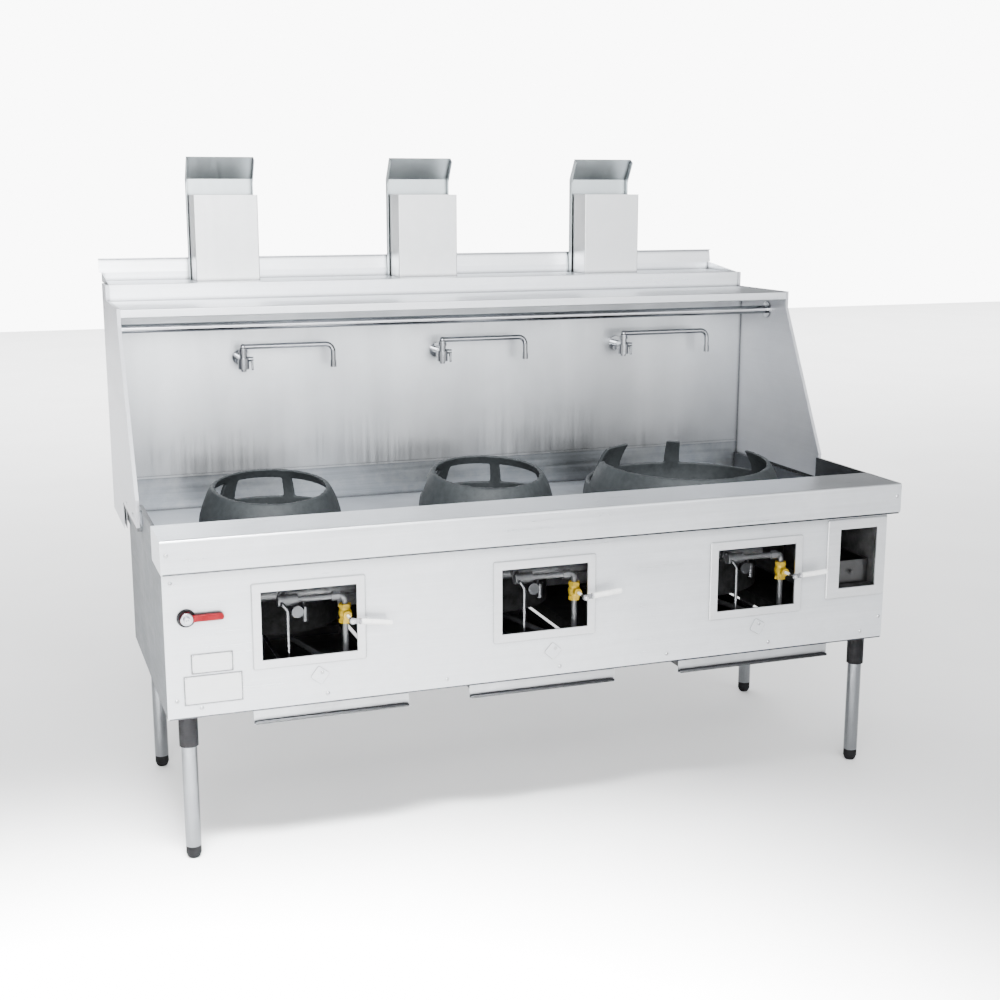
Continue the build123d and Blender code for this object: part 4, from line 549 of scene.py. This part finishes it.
def polar_solid(rows, place, axis, mesh=None):
    """A closed mesh about an axis.

    rows are (radius, height), each a number or a function of the angle, from pole to pole.
    """
    mesh = mesh or bmesh.new()
    to_world = Matrix.Translation(place) @ axis.to_track_quat("Z", "Y").to_matrix().to_4x4()
    loops = []
    for radius, height in rows:
        if radius == 0:
            loops.append([mesh.verts.new(to_world @ Vector((0, 0, height)))])
            continue
        loop = []
        for step in range(STEPS):
            angle = tau * step / STEPS
            r, z = (item(angle) if callable(item) else item for item in (radius, height))
            loop.append(mesh.verts.new(to_world @ Vector((r * cos(angle), r * sin(angle), z))))
        loops.append(loop)
    bridge(mesh, loops, STEPS)
    return mesh


def add_object(name, data):
    obj = bpy.data.objects.new(name, data)
    bpy.context.scene.collection.objects.link(obj)
    return obj


def piece(name, mesh, material, body):
    """Turns a bmesh into an object that rides on a body."""
    bmesh.ops.recalc_face_normals(mesh, faces=mesh.faces)
    data = bpy.data.meshes.new(name)
    mesh.to_mesh(data)
    mesh.free()
    obj = add_object(name, data)
    data.shade_smooth()
    data.set_sharp_from_angle(angle=radians(SMOOTH_ANGLE))
    give(obj, material)
    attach(obj, body)
    return obj


SAME_POINT = 1e-6


def islands(obj):
    """The lowest and highest corner of each separate solid in a node."""
    mesh = bmesh.new()
    mesh.from_mesh(obj.data)
    bmesh.ops.remove_doubles(mesh, verts=mesh.verts, dist=SAME_POINT)
    seen = set()
    for first in mesh.verts:
        if first in seen:
            continue
        stack, found = [first], []
        seen.add(first)
        while stack:
            vert = stack.pop()
            found.append(vert.co.copy())
            for edge in vert.link_edges:
                other = edge.other_vert(vert)
                if other not in seen:
                    seen.add(other)
                    stack.append(other)
        yield tuple(Vector(end(p[i] for p in found) for i in range(3)) for end in (min, max))
    mesh.free()


def hexagon(flats):
    """Radius of a hexagon at an angle, from its distance across flats."""
    return lambda angle: flats / 2 / cos((angle + pi / 6) % (pi / 3) - pi / 6)


# Radii as shares of a nut's distance across flats, heights as shares of its own and the bolt's.
NUT_CORNER, NUT_TOP, NUT_SHOULDER = 0.575, 0.52, 0.82
BOLT_FOOT, BOLT_SIDE, BOLT_END, BOLT_SHOULDER = 0.30, 0.28, 0.20, 0.7


def nut_rows(flats, thick, cap):
    """A hexagon nut with chamfered corners and, in its middle, the end of a bolt."""
    edge = hexagon(flats)
    full = lambda angle: min(edge(angle), flats * NUT_CORNER)
    chamfered = lambda angle: min(edge(angle), flats * NUT_TOP)
    return [(0, 0.0), (full, 0.0), (full, thick * NUT_SHOULDER), (chamfered, thick),
            (flats * BOLT_FOOT, thick), (flats * BOLT_SIDE, thick + cap * BOLT_SHOULDER),
            (flats * BOLT_END, thick + cap), (0, thick + cap)]


SLOT_WIDTH = 0.0011
SLOT_REACH = 0.0031             # from the screw's middle
SLOT_DEPTH = 0.0011
DOME_SHARES = (0.08, 0.16, 0.24, 0.34, 0.46, 0.56, 0.61, 0.66, 0.80, 0.92, 1.0)
DOME_DROP, DOME_CURVE = 0.62, 3.2


def cross_recess(radius):
    """How deep a cross-shaped driver's recess is at each angle, for one radius."""
    def at(angle):
        across = abs(radius * sin((angle + pi / 4) % (pi / 2) - pi / 4))
        return SLOT_DEPTH if across < SLOT_WIDTH / 2 and radius < SLOT_REACH else 0.0
    return at


def screw_rows(radius, height):
    """A domed head with a cross recess."""
    rows = [(0, height - SLOT_DEPTH)]
    for share in DOME_SHARES:
        dome = height * (1.0 - DOME_DROP * share ** DOME_CURVE)
        recess = cross_recess(radius * share)
        rows.append((radius * share, lambda angle, dome=dome, recess=recess: dome - recess(angle)))
    return rows + [(radius, 0.0), (0, 0.0)]


BORDER_WIDTH, BORDER_FLAT, BORDER_HEIGHT = 0.0030, 0.6, 0.0008


def border(mesh, low, high):
    """A raised border round a rectangle that faces -Y, with its inner edge bevelled."""
    loops = []
    front, raised = low.y, low.y - BORDER_HEIGHT
    profile = ((0.0, front), (0.0, raised), (BORDER_WIDTH * BORDER_FLAT, raised),
               (BORDER_WIDTH, front))
    for inset, y in profile:
        corners = ((low.x + inset, low.z + inset), (high.x - inset, low.z + inset),
                   (high.x - inset, high.z - inset), (low.x + inset, high.z - inset))
        loops.append([mesh.verts.new((x, y, z)) for x, z in corners])
    for first, second in zip(loops, loops[1:] + loops[:1]):
        for step in range(4):
            after = (step + 1) % 4
            mesh.faces.new((first[step], first[after], second[after], second[step]))


STRIP_SHEET = 0.0012


def folded_strip(mesh, low, high, foot):
    """A strip folded to an L along X: an upright wall with a foot toward +Y at its top."""
    inner_y, under_z = low.y + STRIP_SHEET, high.z - STRIP_SHEET
    outline = ((low.y, low.z), (low.y, high.z), (low.y + foot, high.z), (low.y + foot, under_z),
               (inner_y, under_z), (inner_y, low.z))
    ends = [[mesh.verts.new((x, y, z)) for y, z in outline] for x in (low.x, high.x)]
    mesh.faces.new(ends[0])
    mesh.faces.new(ends[1][::-1])
    for step in range(len(outline)):
        after = (step + 1) % len(outline)
        mesh.faces.new((ends[0][step], ends[0][after], ends[1][after], ends[1][step]))


END_SHARE, END_RADIUS = 0.3, 0.71           # of a rod's radius, half way round its end


def rolled_edge(low, high, inset, out, up, radius):
    """A rod along X with rounded ends, at the lower front edge of the box low..high.

    It stops an inset short of both ends. out and up are its middle's distances from the
    box's front and bottom, in radii.
    """
    mesh = bmesh.new()
    start = Vector((low.x + inset, low.y + radius * out, low.z + radius * up))
    end = Vector((high.x - inset, start.y, start.z))
    length = end.x - start.x
    stations = [(0.0, 0.0), (radius * END_SHARE, radius * END_RADIUS), (radius, radius)]
    stations += [(length - at, r) for at, r in reversed(stations)]
    turns = [tau * step / BAR_SIDES for step in range(BAR_SIDES)]
    loops = []
    for at, r in stations:
        x, angles = start.x + at, turns if r else turns[:1]
        loops.append([mesh.verts.new((x, start.y + r * cos(a), start.z + r * sin(a)))
                      for a in angles])
    bridge(mesh, loops, BAR_SIDES)
    return mesh


# ---- Screws, in place of the plain ones ----
screws = bmesh.new()
for low, high in islands(NODES["panel_screws"]):
    size, center = high - low, (low + high) / 2
    sideways = size.x < size.y
    axis = X_AXIS * (1 if center.x > 0 else -1) if sideways else -Y_AXIS
    tall = size.x if sideways else size.y
    polar_solid(screw_rows(max(size) / 2, tall), center - axis * tall / 2, axis, screws)
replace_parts(piece("screw_heads", screws, bright_screw, RANGE), "panel_screws")

# ---- Gas levers: a nut on each stem and a ferrule where the grip begins ----
LEVER_NUT = (0.011, 0.0045, 0.0018)     # across flats, thickness, height of the bolt's end
NUT_SUNK = 0.0002
HUB_RADIUS = 0.009
FERRULE = [(0, 0.0), (0.0068, 0.0), (0.0084, 0.0012), (0.0086, 0.0034), (0.0080, 0.0050),
           (0.0068, 0.0060), (0, 0.0060)]
FERRULE_START = 0.0195                  # from the hub's middle, along the lever
GRIP_BACK = 0.0025                      # the grip's middle lies this far behind the joint's
for bay, hub in HUBS.items():
    lever = f"gas_lever_{bay}"
    corners = [vert.co for vert in NODES[lever].data.vertices]
    tip = max(corners, key=lambda p: (p - hub).length)
    along = Vector((tip.x - hub.x, 0.0, tip.z - hub.z)).normalized()
    hub_front = min(p.y for p in corners if (Vector((p.x, hub.y, p.z)) - hub).length < HUB_RADIUS)
    nut_place = Vector((hub.x, hub_front + NUT_SUNK, hub.z))
    nut = polar_solid(nut_rows(*LEVER_NUT), nut_place, -Y_AXIS)
    piece(f"lever_nut_{bay}", nut, bright_screw, lever)
    ferrule_place = Vector((hub.x, hub.y + GRIP_BACK, hub.z)) + along * FERRULE_START
    ferrule = polar_solid(FERRULE, ferrule_place, along)
    piece(f"lever_ferrule_{bay}", ferrule, bright_screw, lever)

# ---- Water valve: a domed nut on the lever's hub and a dark ring on the panel ----
VALVE_NUT = (0.0150, 0.0050, 0.0030)
VALVE_NUT_SUNK = 0.0004
ESCUTCHEON = [(0, 0.0), (0.0225, 0.0), (0.0240, 0.0014), (0.0236, 0.0034), (0.0205, 0.0044),
              (0.0170, 0.0030), (0, 0.0030)]
cap_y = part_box("main_valve_lever")[0].y
cap_place = Vector((MAIN_HUB.x, cap_y + VALVE_NUT_SUNK, MAIN_HUB.z))
cap = polar_solid(nut_rows(*VALVE_NUT), cap_place, -Y_AXIS)
piece("main_valve_nut", cap, chrome, "main_valve_lever")
escutcheon = polar_solid(ESCUTCHEON, Vector((MAIN_HUB.x, PANEL_Y, MAIN_HUB.z)), -Y_AXIS)
piece("main_valve_escutcheon", escutcheon, dark_paint, RANGE)

# ---- Label plates, bare: a raised border round each ----
PLATES = list(islands(NODES["label_plates"]))
borders = bmesh.new()
for low, high in PLATES:
    border(borders, low, high)
piece("plate_borders", borders, pilot_steel, RANGE)

# ---- Rolled edges: inset, out, up and radius of each ----
# The rolled edges are near-black: painted shadow lines under the rail, the panel and the trays.
RAIL_HEM = (0.004, 1.2, 0.2, 0.0020)
PANEL_HEM = (0.002, 0.6, 0.2, 0.0022)
TRAY_HEM = (0.001, 0.4, 0.8, 0.0042)
rail_hem = rolled_edge(*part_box("front_rail"), *RAIL_HEM)
piece("rail_hem", rail_hem, shadow_hem_steel, RANGE)
panel_hem = rolled_edge(PANEL_LOW, PANEL_HIGH, *PANEL_HEM)
piece("panel_hem", panel_hem, shadow_hem_steel, RANGE)
for bay in BAYS:
    tray_hem = rolled_edge(*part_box(f"drip_tray_{bay}"), *TRAY_HEM)
    piece(f"tray_hem_{bay}", tray_hem, shadow_hem_steel, f"drip_tray_{bay}")

# ---- Behind each tray a dark folded strip hangs under the frame's rear member: a dark sheet for painted shade, closing the gap there ----
SHADE_STRIP_GAP, SHADE_STRIP_DROP, SHADE_STRIP_FOOT, SHADE_STRIP_INSET = 0.004, 0.030, 0.024, 0.012
stops = bmesh.new()
frame_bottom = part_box("base_frame")[0].z
for bay in BAYS:
    low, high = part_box(f"drip_tray_{bay}")
    behind = high.y + SHADE_STRIP_GAP
    shade_strip_low = Vector((low.x + SHADE_STRIP_INSET, behind, frame_bottom - SHADE_STRIP_DROP))
    shade_strip_high = Vector((high.x - SHADE_STRIP_INSET, behind, frame_bottom))
    folded_strip(stops, shade_strip_low, shade_strip_high, SHADE_STRIP_FOOT)
piece("tray_shade_strips", stops, sooty, RANGE)

# ---- A rivet in each corner of the label plates ----
RIVET = [(0, 0.0014), (0.0009, 0.0013), (0.0017, 0.0009), (0.0022, 0.0), (0, 0.0)]
RIVET_INSET, RIVET_SUNK = 0.005, 0.0001
rivets = bmesh.new()
for low, high in PLATES:
    for x in (low.x + RIVET_INSET, high.x - RIVET_INSET):
        for z in (low.z + RIVET_INSET, high.z - RIVET_INSET):
            polar_solid(RIVET, Vector((x, low.y + RIVET_SUNK, z)), -Y_AXIS, rivets)
piece("plate_rivets", rivets, bright_screw, RANGE)

# ---- Floor ----
FLOOR_SIDE, FLOOR_FRONT, FLOOR_BACK = 22.0, -12.0, 15.0
FLOOR_DARK, FLOOR_LIGHT, FLOOR_ROUGHNESS = (0.80, 0.80, 0.80), (0.84, 0.84, 0.84), 0.8
floor_corners = [(-FLOOR_SIDE, FLOOR_FRONT, 0.0), (FLOOR_SIDE, FLOOR_FRONT, 0.0),
                 (FLOOR_SIDE, FLOOR_BACK, 0.0), (-FLOOR_SIDE, FLOOR_BACK, 0.0)]
floor_mesh = bpy.data.meshes.new("floor")
floor_mesh.from_pydata(floor_corners, [], [(0, 1, 2, 3)])
floor = add_object("floor", floor_mesh)
f = Shader("pale_floor")
floor_color = f.mix(f.spread(f.noise(1.5, 4), *WIDE_SPAN), FLOOR_DARK, FLOOR_LIGHT)
give(floor, f.finish(floor_color, FLOOR_ROUGHNESS, metallic=0.0))

# ---- Room: bright behind the camera, dimmer to the right and dark behind the range ----
ROOM_LEFT, ROOM_RIGHT = 0.58, 0.14
ROOM_FRONT, ROOM_ABOVE = 5.2, 0.35
ROOM_COLOR = (0.97, 0.985, 1.0, 1.0)
BACKDROP = 12.0                 # the white that the camera sees past the floor
FRONT_SLOPE = (-1.25, -0.25)    # of Y: from nothing at -0.2 to all at -1
SIDE_MIDDLE, SIDE_SLOPE = 0.02, (-2.6, 1.0)
RIGHT_SLOPE = (1.6, 0.05)
world = bpy.data.worlds.new("studio")
world.use_nodes = True
bpy.context.scene.world = world
w_nodes, w_links = world.node_tree.nodes, world.node_tree.links


def world_math(operation, *values, clamp=False):
    made = w_nodes.new("ShaderNodeMath")
    made.operation = operation
    made.use_clamp = clamp
    for socket, value in zip(made.inputs, values):
        if isinstance(value, bpy.types.NodeSocket):
            w_links.new(value, socket)
        else:
            socket.default_value = value
    return made.outputs[0]


toward = w_nodes.new("ShaderNodeSeparateXYZ")
w_links.new(w_nodes.new("ShaderNodeTexCoord").outputs["Generated"], toward.inputs[0])
front = world_math("MULTIPLY_ADD", toward.outputs["Y"], *FRONT_SLOPE, clamp=True)
aside = world_math("SUBTRACT", toward.outputs["X"], SIDE_MIDDLE)
aside = world_math("MULTIPLY", aside, aside)
narrow = world_math("MULTIPLY_ADD", aside, *SIDE_SLOPE, clamp=True)
rightward = world_math("MULTIPLY_ADD", toward.outputs["X"], *RIGHT_SLOPE, clamp=True)
above = world_math("MAXIMUM", toward.outputs["Z"], 0.0)
glow = world_math("MULTIPLY_ADD", rightward, ROOM_RIGHT - ROOM_LEFT, ROOM_LEFT)
glow = world_math("MULTIPLY_ADD", world_math("MULTIPLY", front, narrow), ROOM_FRONT, glow)
glow = world_math("MULTIPLY_ADD", above, ROOM_ABOVE, glow)
room, white = w_nodes["Background"], w_nodes.new("ShaderNodeBackground")
w_links.new(glow, room.inputs["Strength"])
room.inputs["Color"].default_value = ROOM_COLOR
white.inputs["Strength"].default_value = BACKDROP
choice = w_nodes.new("ShaderNodeMixShader")
w_links.new(w_nodes.new("ShaderNodeLightPath").outputs["Is Camera Ray"], choice.inputs[0])
w_links.new(room.outputs[0], choice.inputs[1])
w_links.new(white.outputs[0], choice.inputs[2])
w_links.new(choice.outputs[0], w_nodes["World Output"].inputs["Surface"])

# ---- Lights ----
def area_light(name, place, target, size, power, spread=pi):
    data = bpy.data.lights.new(name, "AREA")
    data.shape = "RECTANGLE"
    data.size, data.size_y = size
    data.energy = power
    data.spread = spread
    lamp = add_object(name, data)
    lamp.location = place
    lamp.rotation_euler = (Vector(target) - Vector(place)).to_track_quat("-Z", "Y").to_euler()
    return lamp


# A lamp that points straight down has its target a millimetre aside, which fixes its turn.
area_light("key", place=(-1.9, PANEL_Y - 4.4, 3.0), target=(-0.6, 0.0, 0.7), size=(3.4, 2.6),
           power=150.0, spread=radians(110))
area_light("top", place=(0.0, -0.9, 4.4), target=(0.0, 0.0, 0.8), size=(5.0, 2.5), power=50.0)
# The panels mirror the floor before them: it is lit more on the left, as the photograph's is.
area_light("floor_wash", place=(-1.5, PANEL_Y - 2.1, 3.3), target=(-1.5, PANEL_Y - 2.101, 0.0),
           size=(2.2, 2.4), power=900.0, spread=radians(60))
# The floor behind runs out into the pale backdrop: this light reaches the floor only.
back_light = area_light("floor_behind", place=(0.0, 11.0, 6.0), target=(0.0, 11.001, 0.0),
                        size=(44.0, 13.0), power=9000.0, spread=radians(140))
only_floor = bpy.data.collections.new("floor_only")
only_floor.objects.link(floor)
back_light.light_linking.receiver_collection = only_floor

# ---- Camera, at the photograph's angle ----
CAMERA_OFFSET = Vector((-1.4672, -3.620, 1.734))    # from the front panel's middle, on the floor
PITCH, YAW = 12.0, 19.8
FOCAL_PIXELS, FRAME_PIXELS, SENSOR = 1463.0, 1000.0, 36.0
camera_data = bpy.data.cameras.new("camera")
camera_data.sensor_width = SENSOR
camera_data.lens = FOCAL_PIXELS / FRAME_PIXELS * SENSOR
camera = add_object("camera", camera_data)
camera.location = (CAMERA_OFFSET.x, PANEL_Y + CAMERA_OFFSET.y, CAMERA_OFFSET.z)
camera.rotation_euler = (radians(90 - PITCH), 0, -radians(YAW))
bpy.context.scene.camera = camera
